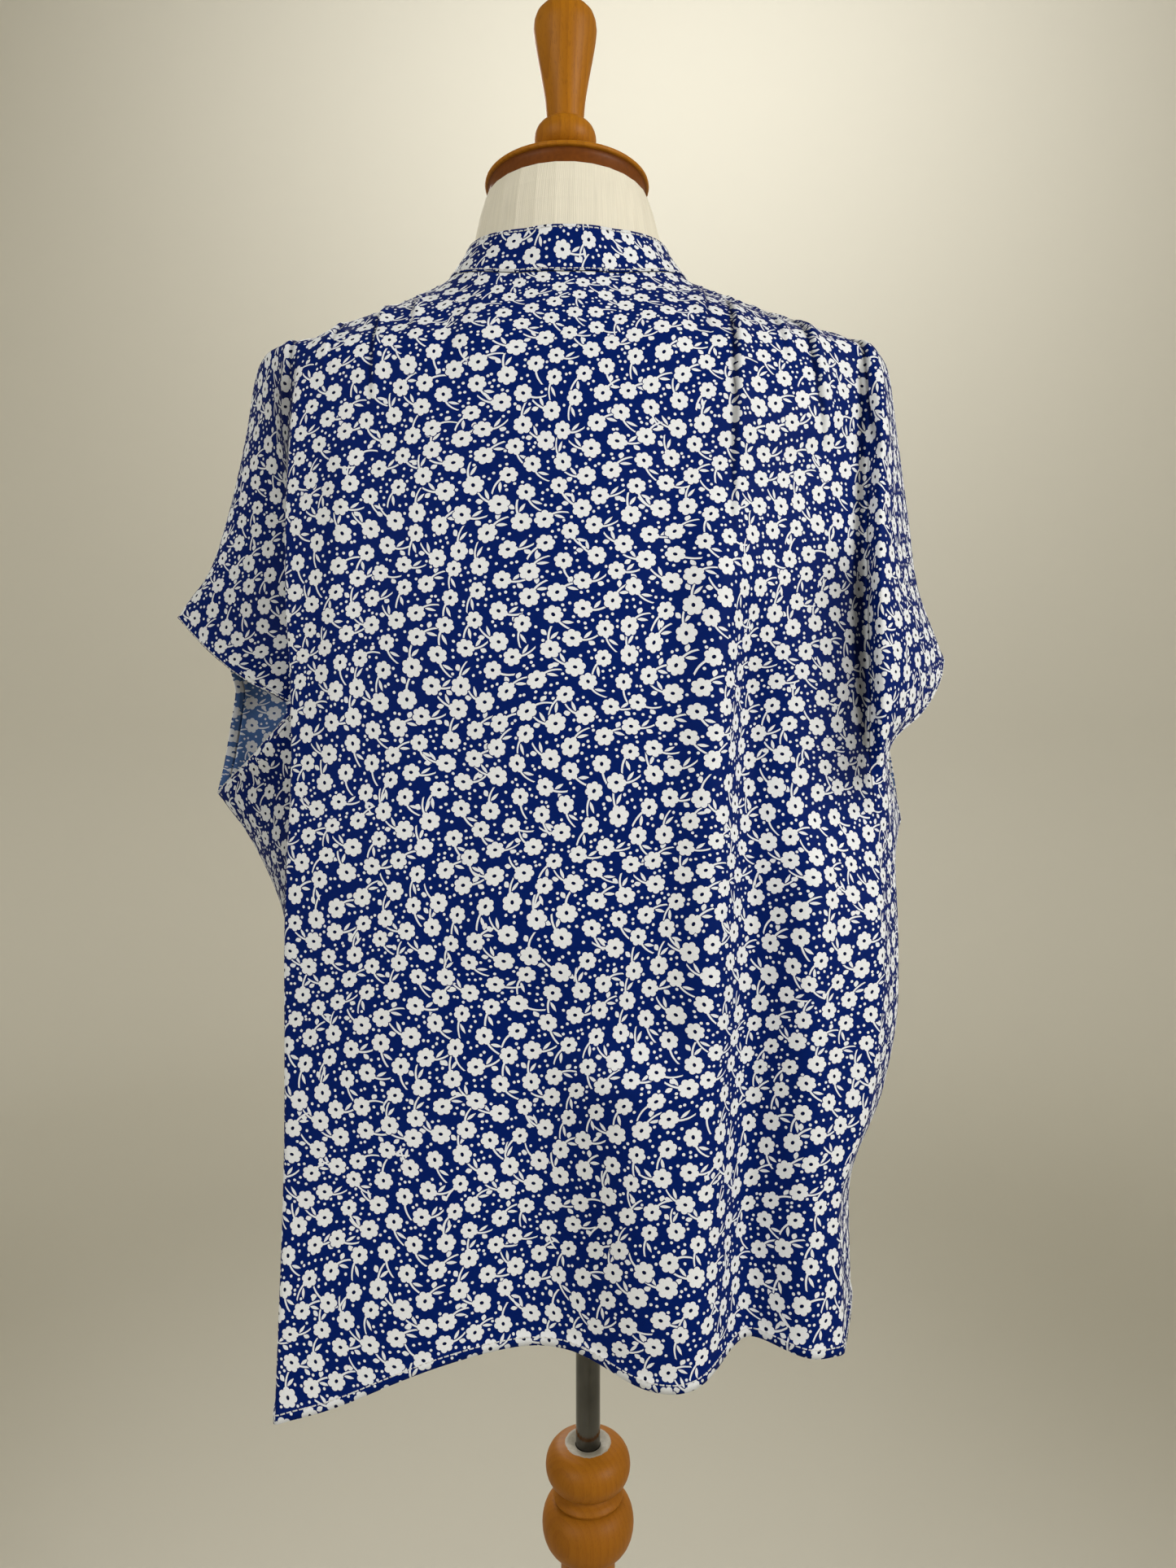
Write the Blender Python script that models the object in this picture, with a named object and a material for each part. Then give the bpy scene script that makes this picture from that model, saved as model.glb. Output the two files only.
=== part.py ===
"""Blouse with short cut-on sleeves on a limbless dress form with a turned wooden stand.

Metres, +Z up. The front faces -Y and the wearer's left is +X. The origin is the middle of the
base's underside, on the floor. Cloth tables give the outer face; the wall lies inside it.
"""
import math
from collections import namedtuple

import bmesh
import bpy
import numpy as np

# Cloth
WALL = 0.0016
SEAM = 0.0004
COLLAR_LIFT = 0.0007
REST = 0.0018
SHOULDER_ROWS = 9
CUFF_ROWS = 9
BODY_ROWS = 10
BACK_COLUMNS = (5, 18, 12)
FRONT_COLUMNS = (2, 6, 8)
BACK_EASING = 0.15
FRONT_EASING = 0.34

# Places along a cloth row, 0 at the middle and 1 at the sleeve's or side's edge
NECK_PLACE = 0.2
GATHER_PLACE = 0.6
V_PLACE = 0.16
FRONT_NECK_PLACE = 0.34
BACK_SEAM_CROWDING = 1.5
FRONT_SEAM_CROWDING = 1.3
SHOULDER_ROW_CROWDING = 1.25
CAP_ROWS = 3

# Control points across each panel, as shares of its half width, and how square the panel is
BACK_SHARES = (0.0, 0.22, 0.44, 0.64, 0.82)
BACK_SQUARENESS = 2.4
FRONT_SHARES = (0.0, 0.33, 0.68)
FRONT_LOWERED = (1.0, 0.75, 0.35)
FRONT_SQUARENESS = 2.2
NOSE_X = -0.10
NOSE_Y = 0.35
NOSE_SPAN = 0.030

# Neckline, an oval round the neck, its heights given by the angle from centre back
NECK_HALF_WIDTH = 0.0725
NECK_BACK = 0.0650
NECK_FRONT = 0.0790
NECK_HEIGHTS = (
    (0, 1.4180), (30, 1.4203), (45, 1.4229), (60, 1.4268), (75, 1.4318), (90, 1.4355),
    (105, 1.4350), (120, 1.4300), (150, 1.4110), (180, 1.4000),
)
YOKE_BACK_ANGLE = 75
YOKE_FRONT_ANGLE = 105
COLLAR_END_ANGLE = 150
COLLAR_HEIGHTS = ((0, 0.0280), (35, 0.0255), (65, 0.0200), (95, 0.0185), (150, 0.0210))
COLLAR_TOP_HALF_WIDTH = 0.0610
COLLAR_TOP_BACK = 0.0600
COLLAR_TOP_FRONT = 0.0680
COLLAR_COLUMNS = 40
COLLAR_ROWS = 3
NOTCH_BOTTOM = (0.0, -0.1170, 1.2900)

# Shoulders: x and z of each tip, and the width of the yoke there
LEFT_TIP = (0.1850, 1.3890)
RIGHT_TIP = (0.1895, 1.3950)
TIP_Y = 0.0060
YOKE_END = 0.0024
YOKE_LENGTH = 0.985
YOKE_COLUMNS = 12
YOKE_ROWS = 4

# Heights
HEM_Z = 0.8350
NAPE_Z = 1.4200
FORM_BOTTOM = 0.8300
FORM_TOP = 1.4865
POST_TOP = 0.6970
LEAN = 0.0165

# Stand
POLE_RADIUS = 0.0080
SOCKET_DEPTH = 0.0200
SOCKET_GAP = 0.0004
TAPE_HEIGHT = 0.0120
TAPE_WALL = 0.0010
TAPE_LIFT = 0.0030
PIECE_GAP = 0.0003
CAP_HEIGHT = 0.0145
CAP_RADIUS = 0.0508
CAP_SEAT = 0.0170
FINIAL_TOP = 1.6125
FINIAL_RADIUS = 0.0190
BALL_RADIUS = 0.0186
UPPER_BALL_RADIUS = 0.0277
LOWER_BALL_RADIUS = 0.0300
COLLAR_BEAD_RADIUS = 0.0240
SHAFT_BEAD_RADIUS = 0.0290
POST_FOOT_RADIUS = 0.0380
BASE_RADIUS = 0.1750
BASE_HEIGHT = 0.0240
BASE_ROUNDING = 0.0120
TURNED_SIDES = 24
FORM_SIDES = 30
BASE_SIDES = 44

Ring = namedtuple("Ring", "z half_width back front power")
FORM_RINGS = (
    Ring(0.8300, 0.1500, 0.1000, 0.0880, 2.3),
    Ring(0.8700, 0.1550, 0.1060, 0.0950, 2.4),
    Ring(0.9300, 0.1500, 0.1040, 0.0950, 2.4),
    Ring(1.0000, 0.1300, 0.0900, 0.0880, 2.3),
    Ring(1.0600, 0.1160, 0.0770, 0.0840, 2.2),
    Ring(1.1200, 0.1210, 0.0800, 0.0940, 2.2),
    Ring(1.1900, 0.1360, 0.0910, 0.1140, 2.2),
    Ring(1.2400, 0.1470, 0.0970, 0.1180, 2.2),
    Ring(1.3000, 0.1640, 0.0990, 0.1040, 2.3),
    Ring(1.3450, 0.1770, 0.0940, 0.0820, 2.4),
    Ring(1.3650, 0.1785, 0.0865, 0.0700, 2.4),
    Ring(1.3800, 0.1730, 0.0790, 0.0630, 2.3),
    Ring(1.3890, 0.1630, 0.0745, 0.0585, 2.2),
    Ring(1.3970, 0.1465, 0.0700, 0.0555, 2.2),
    Ring(1.4060, 0.1215, 0.0640, 0.0525, 2.2),
    Ring(1.4170, 0.0950, 0.0595, 0.0500, 2.1),
    Ring(1.4280, 0.0765, 0.0570, 0.0495, 2.1),
    Ring(1.4380, 0.0670, 0.0560, 0.0500, 2.0),
    Ring(1.4500, 0.0605, 0.0550, 0.0505, 2.0),
    Ring(1.4640, 0.0570, 0.0540, 0.0510, 2.0),
    Ring(1.4760, 0.0540, 0.0525, 0.0510, 2.0),
    Ring(1.4865, 0.0505, 0.0505, 0.0505, 2.0),
)
FORM_ROWS = ((FORM_BOTTOM, 1.345, 13), (1.364, 1.388, 3), (1.392, 1.446, 14), (1.455, FORM_TOP, 4))

# Centre lines of the hanging cloth, seen from the side
BACK_PROFILE = (
    (0.790, 0.1240), (0.835, 0.1220), (0.930, 0.1195), (1.030, 0.1175), (1.130, 0.1155),
    (1.230, 0.1125), (1.295, 0.1075), (1.345, 0.0990), (1.380, 0.0865), (1.405, 0.0730),
    (1.420, 0.0640),
)
FRONT_PROFILE = (
    (0.790, -0.1380), (0.835, -0.1370), (0.930, -0.1350), (1.050, -0.1370), (1.150, -0.1380),
    (1.230, -0.1320), (1.290, -0.1170), (1.345, -0.1000), (1.380, -0.0880), (1.412, -0.0740),
)

# Sections of the back, one row for each height: the fold at the panel's side, the tuck behind
# or beside it, and the edge, which is the overarm, then the cuff's hem, then the side seam
Side = namedtuple("Side", "z fold_x fold_y tuck_x tuck_y edge_x edge_y")
BACK_LEFT = (
    Side(1.380, 0.148, 0.060, 0.172, 0.044, 0.1955, 0.003),
    Side(1.345, 0.154, 0.066, 0.170, 0.042, 0.2045, -0.001),
    Side(1.295, 0.159, 0.072, 0.167, 0.032, 0.2190, -0.004),
    Side(1.262, 0.160, 0.075, 0.165, 0.029, 0.2320, -0.005),
    Side(1.234, 0.160, 0.078, 0.164, 0.028, 0.2525, -0.006),
    Side(1.212, 0.159, 0.079, 0.163, 0.028, 0.2275, 0.012),
    Side(1.192, 0.158, 0.080, 0.162, 0.032, 0.1980, 0.030),
    Side(1.176, 0.158, 0.081, 0.161, 0.033, 0.1710, 0.038),
    Side(1.153, 0.158, 0.082, 0.162, 0.032, 0.1920, 0.024),
    Side(1.1215, 0.159, 0.084, 0.164, 0.032, 0.2360, -0.020),
    Side(1.095, 0.160, 0.087, 0.169, 0.040, 0.2170, -0.018),
    Side(1.030, 0.162, 0.092, 0.173, 0.047, 0.1880, -0.012),
    Side(0.950, 0.162, 0.100, 0.172, 0.052, 0.1780, -0.010),
    Side(0.880, 0.163, 0.110, 0.172, 0.058, 0.1740, -0.010),
    Side(0.795, 0.165, 0.124, 0.173, 0.064, 0.1740, -0.010),
)
BACK_RIGHT = (
    Side(1.380, 0.150, 0.054, 0.176, 0.044, 0.1990, 0.003),
    Side(1.345, 0.160, 0.050, 0.177, 0.058, 0.2045, 0.001),
    Side(1.295, 0.168, 0.048, 0.174, 0.066, 0.2120, -0.001),
    Side(1.250, 0.171, 0.050, 0.173, 0.072, 0.2190, -0.003),
    Side(1.207, 0.171, 0.052, 0.173, 0.075, 0.2350, -0.004),
    Side(1.1915, 0.171, 0.054, 0.173, 0.076, 0.2287, 0.005),
    Side(1.172, 0.170, 0.057, 0.173, 0.075, 0.2121, 0.020),
    Side(1.160, 0.169, 0.060, 0.173, 0.073, 0.1936, 0.036),
    Side(1.145, 0.168, 0.064, 0.174, 0.068, 0.1860, 0.040),
    Side(1.104, 0.170, 0.072, 0.182, 0.056, 0.2094, -0.012),
    Side(1.070, 0.170, 0.082, 0.189, 0.048, 0.2010, -0.010),
    Side(1.010, 0.168, 0.090, 0.192, 0.046, 0.1920, -0.008),
    Side(0.950, 0.158, 0.096, 0.182, 0.048, 0.1815, -0.006),
    Side(0.890, 0.139, 0.104, 0.158, 0.058, 0.1655, -0.006),
    Side(0.829, 0.139, 0.114, 0.157, 0.066, 0.1600, -0.006),
)
CUFF_TOP = 4
UNDERARM = 9
LEFT_FOLD_SOFTNESS = 0.40
RIGHT_FOLD_SOFTNESS = 0.55
FOLD_LEAD = 0.45
SLEEVE_SHARE = 0.50
SLEEVE_CROWN = 0.10

# Height of the hem at each control point, from the middle out to the side seam
BACK_HEM_LEFT = (0.835, 0.834, 0.827, 0.814, 0.801, 0.796, 0.793, 0.796, 0.802, 0.808, 0.812, 0.815)
BACK_HEM_RIGHT = (0.835, 0.817, 0.823, 0.838, 0.828, 0.827, 0.826, 0.828, 0.830, 0.832, 0.834, 0.835)
FRONT_HEM_LEFT = (0.835, 0.835, 0.835, 0.833, 0.825, 0.817, 0.815)
FRONT_HEM_RIGHT = (0.835,) * 7

# Sections of the front, in the same order of rows: the panel's turn, the middle of the side and
# the edge, which leaves the back's edge only along the cuff
FrontSide = namedtuple("FrontSide", "turn_x turn_y side_x side_y cuff_x cuff_y")
FRONT_SIDES = (
    FrontSide(0.136, -0.056, 0.176, -0.032, None, None),
    FrontSide(0.142, -0.070, 0.186, -0.042, None, None),
    FrontSide(0.146, -0.088, 0.194, -0.052, None, None),
    FrontSide(0.147, -0.096, 0.198, -0.060, None, None),
    FrontSide(0.148, -0.102, 0.202, -0.068, None, None),
    FrontSide(0.148, -0.105, 0.202, -0.074, 0.2350, -0.038),
    FrontSide(0.148, -0.107, 0.200, -0.078, 0.2345, -0.055),
    FrontSide(0.148, -0.108, 0.198, -0.080, 0.2385, -0.061),
    FrontSide(0.149, -0.109, 0.196, -0.080, 0.2405, -0.054),
    FrontSide(0.149, -0.110, 0.192, -0.074, None, None),
    FrontSide(0.150, -0.111, 0.186, -0.070, None, None),
    FrontSide(0.150, -0.113, 0.178, -0.066, None, None),
    FrontSide(0.150, -0.114, 0.174, -0.062, None, None),
    FrontSide(0.149, -0.116, 0.170, -0.060, None, None),
    FrontSide(0.148, -0.118, 0.168, -0.060, None, None),
)
RIGHT_CUFF_IN = 0.0250

# Ridges (depth above 0) and troughs of the hanging cloth: a line from its top to its low end.
# Each grows over the first share of its length and fades where the cloth turns to the side
CREASE_START = 0.12
CREASE_TURN = 0.5
Crease = namedtuple("Crease", "top_x top_z low_x low_z depth width")
BACK_CREASES = (
    Crease(-0.098, 1.428, -0.092, 1.290, -0.0030, 0.0050),
    Crease(-0.090, 1.426, -0.084, 1.330, 0.0016, 0.0060),
    Crease(-0.140, 1.412, -0.158, 1.345, -0.0026, 0.0050),
    Crease(-0.131, 1.412, -0.147, 1.340, 0.0014, 0.0060),
    Crease(-0.168, 1.402, -0.176, 1.360, -0.0020, 0.0050),
    Crease(0.106, 1.424, 0.106, 1.345, -0.0018, 0.0050),
    Crease(0.158, 1.402, 0.163, 1.340, -0.0022, 0.0055),
    Crease(-0.080, 1.300, -0.058, 0.800, 0.0090, 0.0170),
    Crease(-0.102, 1.240, -0.088, 0.800, -0.0120, 0.0160),
    Crease(-0.030, 1.000, -0.040, 0.780, 0.0140, 0.0300),
    Crease(0.030, 1.050, 0.030, 0.780, -0.0050, 0.0300),
    Crease(-0.128, 1.120, -0.120, 0.800, 0.0060, 0.0140),
)
FRONT_CREASES = (
    Crease(-0.070, 1.250, -0.085, 0.800, 0.0080, 0.0200),
    Crease(-0.040, 1.150, -0.045, 0.800, -0.0070, 0.0200),
    Crease(0.085, 1.260, 0.100, 0.800, 0.0070, 0.0180),
    Crease(0.050, 1.150, 0.055, 0.800, -0.0080, 0.0220),
    Crease(0.010, 1.200, 0.012, 0.800, 0.0060, 0.0200),
)

# Gathers below the yoke seams: place along the seam from neck to tip, height and length
Gather = namedtuple("Gather", "place height length width")
LEFT_GATHERS = (
    Gather(0.06, 0.0013, 0.030, 0.0032), Gather(0.17, 0.0016, 0.045, 0.0036),
    Gather(0.30, 0.0012, 0.026, 0.0032), Gather(0.40, 0.0015, 0.034, 0.0034),
    Gather(0.52, 0.0014, 0.030, 0.0032), Gather(0.65, 0.0013, 0.024, 0.0034),
    Gather(0.78, 0.0016, 0.036, 0.0036),
)
RIGHT_GATHERS = (
    Gather(0.07, 0.0014, 0.032, 0.0032), Gather(0.21, 0.0017, 0.040, 0.0036),
    Gather(0.33, 0.0012, 0.024, 0.0032), Gather(0.44, 0.0015, 0.036, 0.0034),
    Gather(0.56, 0.0013, 0.030, 0.0032), Gather(0.69, 0.0016, 0.042, 0.0036),
    Gather(0.82, 0.0013, 0.026, 0.0034),
)


def slopes(knots, values):
    """Slopes of a smooth curve through the values, level where they turn."""
    steps = np.diff(knots).reshape((-1,) + (1,) * (values.ndim - 1))
    rises = np.diff(values, axis=0) / steps
    before, after = rises[:-1], rises[1:]
    mean = (steps[1:] * before + steps[:-1] * after) / (steps[1:] + steps[:-1])
    limit = 3 * np.minimum(abs(before), abs(after))
    inner = np.where(before * after > 0, np.clip(mean, -limit, limit), 0)
    return np.concatenate([rises[:1], inner, rises[-1:]])


def curve(knots, values, at):
    """Values of the smooth curve through (knots, values) at each place."""
    knots = np.asarray(knots, float)
    values = np.asarray(values, float)
    slope = slopes(knots, values)
    at = np.clip(np.asarray(at, float), knots[0], knots[-1])
    low = np.clip(np.searchsorted(knots, at, side="right") - 1, 0, len(knots) - 2)
    shape = at.shape + (1,) * (values.ndim - 1)
    step = (knots[low + 1] - knots[low]).reshape(shape)
    t = ((at - knots[low]) / (knots[low + 1] - knots[low])).reshape(shape)
    start = values[low] * (1 + 2 * t) * (1 - t) ** 2 + slope[low] * step * t * (1 - t) ** 2
    end = values[low + 1] * t * t * (3 - 2 * t) + slope[low + 1] * step * t * t * (t - 1)
    return start + end


def cornered_curve(knots, values, at, corners):
    """As curve, but free to turn sharply at the rows named in corners."""
    result = curve(knots, values, at)
    stops = [0, *corners, len(knots) - 1]
    for first, last in zip(stops, stops[1:]):
        inside = (at >= knots[first]) & (at <= knots[last])
        result[inside] = curve(knots[first:last + 1], values[first:last + 1], at[inside])
    return result


def spline_weights(count, at):
    """Weights of count control points at places -1 to 1 along a cubic spline with held ends."""
    knots = np.concatenate([[-1] * 3, np.linspace(-1, 1, count - 2), [1] * 3])
    at = np.clip(at, -1, 1 - 1e-9)
    weights = [((low <= at) & (at < high)).astype(float) for low, high in zip(knots, knots[1:])]
    for degree in (1, 2, 3):
        for i in range(len(weights) - degree):
            total = 0
            if knots[i + degree] > knots[i]:
                total = (at - knots[i]) / (knots[i + degree] - knots[i]) * weights[i]
            if knots[i + degree + 1] > knots[i + 1]:
                rest = knots[i + degree + 1] - at
                total = total + rest / (knots[i + degree + 1] - knots[i + 1]) * weights[i + 1]
            weights[i] = total
    return np.stack(weights[:count], axis=-1)


def spline_places(count):
    """Place of each control point along the same spline."""
    knots = np.concatenate([[-1] * 3, np.linspace(-1, 1, count - 2), [1] * 3])
    return np.array([knots[i + 1:i + 4].mean() for i in range(count)])


def form_reach(points):
    """How far points lie outside the form's oval sections, as a share of the section."""
    rings = np.array(FORM_RINGS)
    half_width, back, front, power = curve(rings[:, 0], rings[:, 1:], points[..., 2]).T
    half_width, back, front, power = half_width.T, back.T, front.T, power.T
    depth = np.where(points[..., 1] > 0, back, front)
    across = (abs(points[..., 0]) / half_width) ** power
    along = (abs(points[..., 1]) / depth) ** power
    return (across + along) ** (1 / power) - 1


def form_rise(points):
    """Direction in which the reach grows fastest, and how fast it grows."""
    nudge = 1e-4
    rise = [form_reach(points + step) - form_reach(points - step) for step in np.eye(3) * nudge]
    rise = np.stack(rise, axis=-1) / (2 * nudge)
    steep = np.linalg.norm(rise, axis=-1) + 1e-9
    return rise / steep[..., None], steep


def clear_of_form(points, gap):
    """The points, moved out where they lie nearer than gap to the form."""
    points = np.array(points, float)
    for _ in range(5):
        direction, steep = form_rise(points)
        short = np.maximum(gap - form_reach(points) / steep, 0)
        points += direction * short[..., None]
    return points


def leaned(points):
    """The form leans a little on its pole, and carries the cloth with it."""
    points = np.array(points, float)
    points[..., 0] += LEAN * (points[..., 2] - POST_TOP)
    return points


def neck_oval(angles, half_width, back, front):
    """Plan of an oval round the neck: x and y at each angle from centre back."""
    turn = np.radians(angles)
    depth = np.where(np.cos(turn) > 0, back, front)
    return half_width * np.sin(turn), depth * np.cos(turn)


def neckline(angles):
    """Points of the seam between collar and blouse at angles from centre back, left positive."""
    angles = np.asarray(angles, float)
    x, y = neck_oval(angles, NECK_HALF_WIDTH, NECK_BACK, NECK_FRONT)
    table = np.array(NECK_HEIGHTS)
    points = np.stack([x, y, curve(table[:, 0], table[:, 1], abs(angles))], axis=-1)
    return clear_of_form(points, WALL + REST)


def shoulder_line(start, tip, y_end, t):
    """Points from the neckline to the shoulder tip, at t from 0 to 1."""
    end = np.array([tip[0], y_end, tip[1]])
    t = np.asarray(t, float)[..., None]
    return clear_of_form(start * (1 - t) + end * t, WALL + REST)


def back_top(places):
    """Upper edge of the back: the neckline, then the yoke seam out to each tip."""
    points = np.zeros(places.shape + (3,))
    for side, tip in ((1, LEFT_TIP), (-1, RIGHT_TIP)):
        reach = places * side
        on_neck = (reach >= 0) & (reach <= NECK_PLACE)
        points[on_neck] = neckline(YOKE_BACK_ANGLE * places[on_neck] / NECK_PLACE)
        on_seam = reach > NECK_PLACE
        start = neckline([YOKE_BACK_ANGLE])[0]
        t = 1 - (1 - (reach[on_seam] - NECK_PLACE) / (1 - NECK_PLACE)) ** BACK_SEAM_CROWDING
        seam = shoulder_line(start, tip, TIP_Y + YOKE_END / 2, t)
        seam[:, 0] *= side
        points[on_seam] = seam
    return points


def front_top(places):
    """Upper edge of the front: the notch, the neckline, then the yoke seam out to each tip."""
    points = np.zeros(places.shape + (3,))
    corner = neckline([COLLAR_END_ANGLE])[0]
    for side, tip in ((1, LEFT_TIP), (-1, RIGHT_TIP)):
        reach = places * side
        mirror = np.array([side, 1, 1])
        on_notch = (reach >= 0) & (reach <= V_PLACE)
        t = (reach[on_notch] / V_PLACE)[:, None]
        points[on_notch] = (np.array(NOTCH_BOTTOM) * (1 - t) + corner * t) * mirror
        on_neck = (reach > V_PLACE) & (reach <= FRONT_NECK_PLACE)
        t = (reach[on_neck] - V_PLACE) / (FRONT_NECK_PLACE - V_PLACE)
        points[on_neck] = neckline(COLLAR_END_ANGLE + (YOKE_FRONT_ANGLE - COLLAR_END_ANGLE) * t) * mirror
        on_seam = reach > FRONT_NECK_PLACE
        start = neckline([YOKE_FRONT_ANGLE])[0]
        t = ((reach[on_seam] - FRONT_NECK_PLACE) / (1 - FRONT_NECK_PLACE)) ** FRONT_SEAM_CROWDING
        points[on_seam] = shoulder_line(start, tip, TIP_Y - YOKE_END / 2, t) * mirror
    return points


def middle_heights():
    """Height of each section row at the middle, between its heights at both sides."""
    heights = np.array([(left.z + right.z) / 2 for left, right in zip(BACK_LEFT, BACK_RIGHT)])
    heights[-1] = HEM_Z
    return heights


def back_side_controls(rows, softness, hem):
    """Control points from the middle to one side, for each row below the top edge."""
    profile = np.array(BACK_PROFILE)
    controls = []
    for row, centre_z in zip(rows, middle_heights()):
        centre_y = curve(profile[:, 0], profile[:, 1], [centre_z])[0]
        fold = np.array([row.fold_x, row.fold_y, row.z])
        tuck = np.array([row.tuck_x, row.tuck_y, row.z])
        edge = np.array([row.edge_x, row.edge_y, row.z])
        panel = []
        for share in BACK_SHARES:
            y = centre_y + (row.fold_y - centre_y) * share ** BACK_SQUARENESS
            z = centre_z + (row.z - centre_z) * share
            panel.append(np.array([row.fold_x * share, y, z]))
        before = fold + (panel[-1] - fold) * FOLD_LEAD
        after = fold + (tuck - fold) * softness
        span = np.linalg.norm(edge - tuck)
        nose = edge + np.array([NOSE_X, NOSE_Y, 0]) * min(span, NOSE_SPAN)
        middle = tuck + (nose - tuck) * SLEEVE_SHARE + np.array([0, SLEEVE_CROWN * span, 0])
        controls.append(panel + [before, fold, after, tuck, middle, nose, edge])
    controls = np.array(controls)
    controls[-1, :, 2] = hem
    return controls


def front_side_controls(rows, cuff_in, hem):
    """Control points from the middle to one side, for each row below the top edge."""
    profile = np.array(FRONT_PROFILE)
    squeeze = (NOTCH_BOTTOM[2] - HEM_Z) / (NAPE_Z - HEM_Z)
    controls = []
    for row, side, centre_z in zip(rows, FRONT_SIDES, middle_heights()):
        edge = np.array([row.edge_x, row.edge_y, row.z])
        if side.cuff_x is not None:
            edge = np.array([side.cuff_x - cuff_in, side.cuff_y, row.z])
        points = []
        for share, drop in zip(FRONT_SHARES, FRONT_LOWERED):
            level = centre_z + (row.z - centre_z) * share
            level += drop * (HEM_Z + (level - HEM_Z) * squeeze - level)
            centre_y = curve(profile[:, 0], profile[:, 1], [level])[0]
            y = centre_y + (side.turn_y - centre_y) * share ** FRONT_SQUARENESS
            points.append(np.array([side.turn_x * share, y, level]))
        span = np.linalg.norm(edge[:2] - (side.side_x, side.side_y))
        nose = edge + np.array([NOSE_X, -NOSE_Y, 0]) * min(span, NOSE_SPAN)
        turn = np.array([side.turn_x, side.turn_y, row.z])
        middle = np.array([side.side_x, side.side_y, row.z])
        controls.append(points + [turn, middle, nose, edge])
    controls = np.array(controls)
    controls[-1, :, 2] = hem
    return controls


def whole_rows(left, right):
    """Join the controls of both sides into rows that run from right to left."""
    mirrored = right[:, :0:-1] * np.array([-1, 1, 1])
    joined = np.concatenate([mirrored, left], axis=1)
    joined[:, right.shape[1] - 1] = (left[:, 0] + right[:, 0]) / 2
    return joined


def cloth_surface(top, controls, places, easing):
    """Outer face of a panel: a grid of points, rows from the top edge to the hem.

    The exact top edge eases into the smooth surface over the share of the height in easing.
    """
    knots, downs = row_knots(), row_downs()
    count = controls.shape[1]
    first = top(spline_places(count))[None]
    net = np.concatenate([first, controls])
    lines = np.stack([curve(knots, net[:, k], downs) for k in range(count)], axis=1)
    corners = (CUFF_TOP + 1, UNDERARM + 1)
    for k in (0, -1):
        lines[:, k] = cornered_curve(knots, net[:, k], downs, corners)
    surface = np.einsum("pk,rkc->rpc", spline_weights(count, places), lines)
    ease = np.clip(1 - downs / easing, 0, 1)[:, None, None]
    return surface + (top(places) - surface[0])[None] * ease * ease * (3 - 2 * ease)


def face_normals(grid, outward_y):
    """Unit normals of a grid of points, on the side that faces outward_y."""
    across = np.gradient(grid, axis=1)
    down = np.gradient(grid, axis=0)
    normals = np.cross(across, down)
    normals /= np.linalg.norm(normals, axis=-1)[..., None] + 1e-12
    middle = normals[len(grid) // 2, grid.shape[1] // 2]
    return normals if middle[1] * outward_y > 0 else -normals


def creased(grid, normals, creases, outward_y):
    """The grid, raised along ridges and sunk along troughs."""
    height = np.zeros(grid.shape[:2])
    facing = np.clip(normals[..., 1] * outward_y / CREASE_TURN, 0, 1)
    for crease in creases:
        run = np.clip((crease.top_z - grid[..., 2]) / (crease.top_z - crease.low_z), 0, 1)
        x = crease.top_x + (crease.low_x - crease.top_x) * run
        across = np.exp(-((grid[..., 0] - x) / crease.width) ** 2)
        fade = 1.0 if crease.low_z < HEM_Z else 1 - run ** 2
        height += crease.depth * across * np.clip(run / CREASE_START, 0, 1) * fade
    return grid + normals * (height * facing)[..., None]


def gathered(grid, normals, places, gathers, side):
    """Small ridges that run down from a yoke seam and die away."""
    seam = (places * side - NECK_PLACE) / (1 - NECK_PLACE)
    along = 1 - (1 - np.clip(seam, 0, 1)) ** BACK_SEAM_CROWDING
    length = np.linalg.norm(grid[0, -1] - grid[0, grid.shape[1] // 2])
    below = np.cumsum(np.linalg.norm(np.diff(grid, axis=0, prepend=grid[:1]), axis=-1), axis=0)
    height = np.zeros(grid.shape[:2])
    for gather in gathers:
        across = np.exp(-((along - gather.place) * length / gather.width) ** 2)
        run = np.clip(below / gather.length, 0, 1)
        height += gather.height * across[None] * np.sin(math.pi * np.sqrt(run))
    height[:, seam <= 0] = 0
    return grid + normals * height[..., None]


def seam_normals(edge, side):
    """Shared normal of front and back along the seam where they meet."""
    down = np.gradient(edge, axis=0)
    normals = np.cross(down, (0, 1, 0))
    normals /= np.linalg.norm(normals, axis=-1)[..., None] + 1e-12
    return normals * np.sign(normals[:, :1]) * side


def inner_face(grid, outward_y):
    """The wall's other face, with one direction shared by both panels at their seams."""
    knots, downs = row_knots(), row_downs()
    normals = face_normals(grid, outward_y)
    for column, side in ((0, -1), (-1, 1)):
        shared = seam_normals(grid[:, column], side)
        cuff = (downs > knots[CUFF_TOP + 1]) & (downs < knots[UNDERARM + 1])
        shared[cuff] = normals[cuff, column]
        normals[:, column] = shared
    normals[0] = form_rise(grid[0])[0]
    return grid - normals * WALL


def wall_mesh(name, outer, inner, coarse_from):
    """Closed wall between two grids. Rows from coarse_from down use every second column."""
    mesh = bmesh.new()
    layers = []
    for grid in (outer, inner):
        rows = []
        for index, row in enumerate(grid):
            step = 2 if index >= coarse_from else 1
            rows.append([mesh.verts.new(point) for point in row[::step]])
        layers.append(rows)
    for rows in layers:
        for upper, lower in zip(rows, rows[1:]):
            fill_between(mesh, upper, lower)
    rims = [(layers[0][end], layers[1][end]) for end in (0, -1)]
    rims += [([r[end] for r in layers[0]], [r[end] for r in layers[1]]) for end in (0, -1)]
    for first, second in rims:
        fill_between(mesh, first, second)
    return finished(name, mesh)


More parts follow.
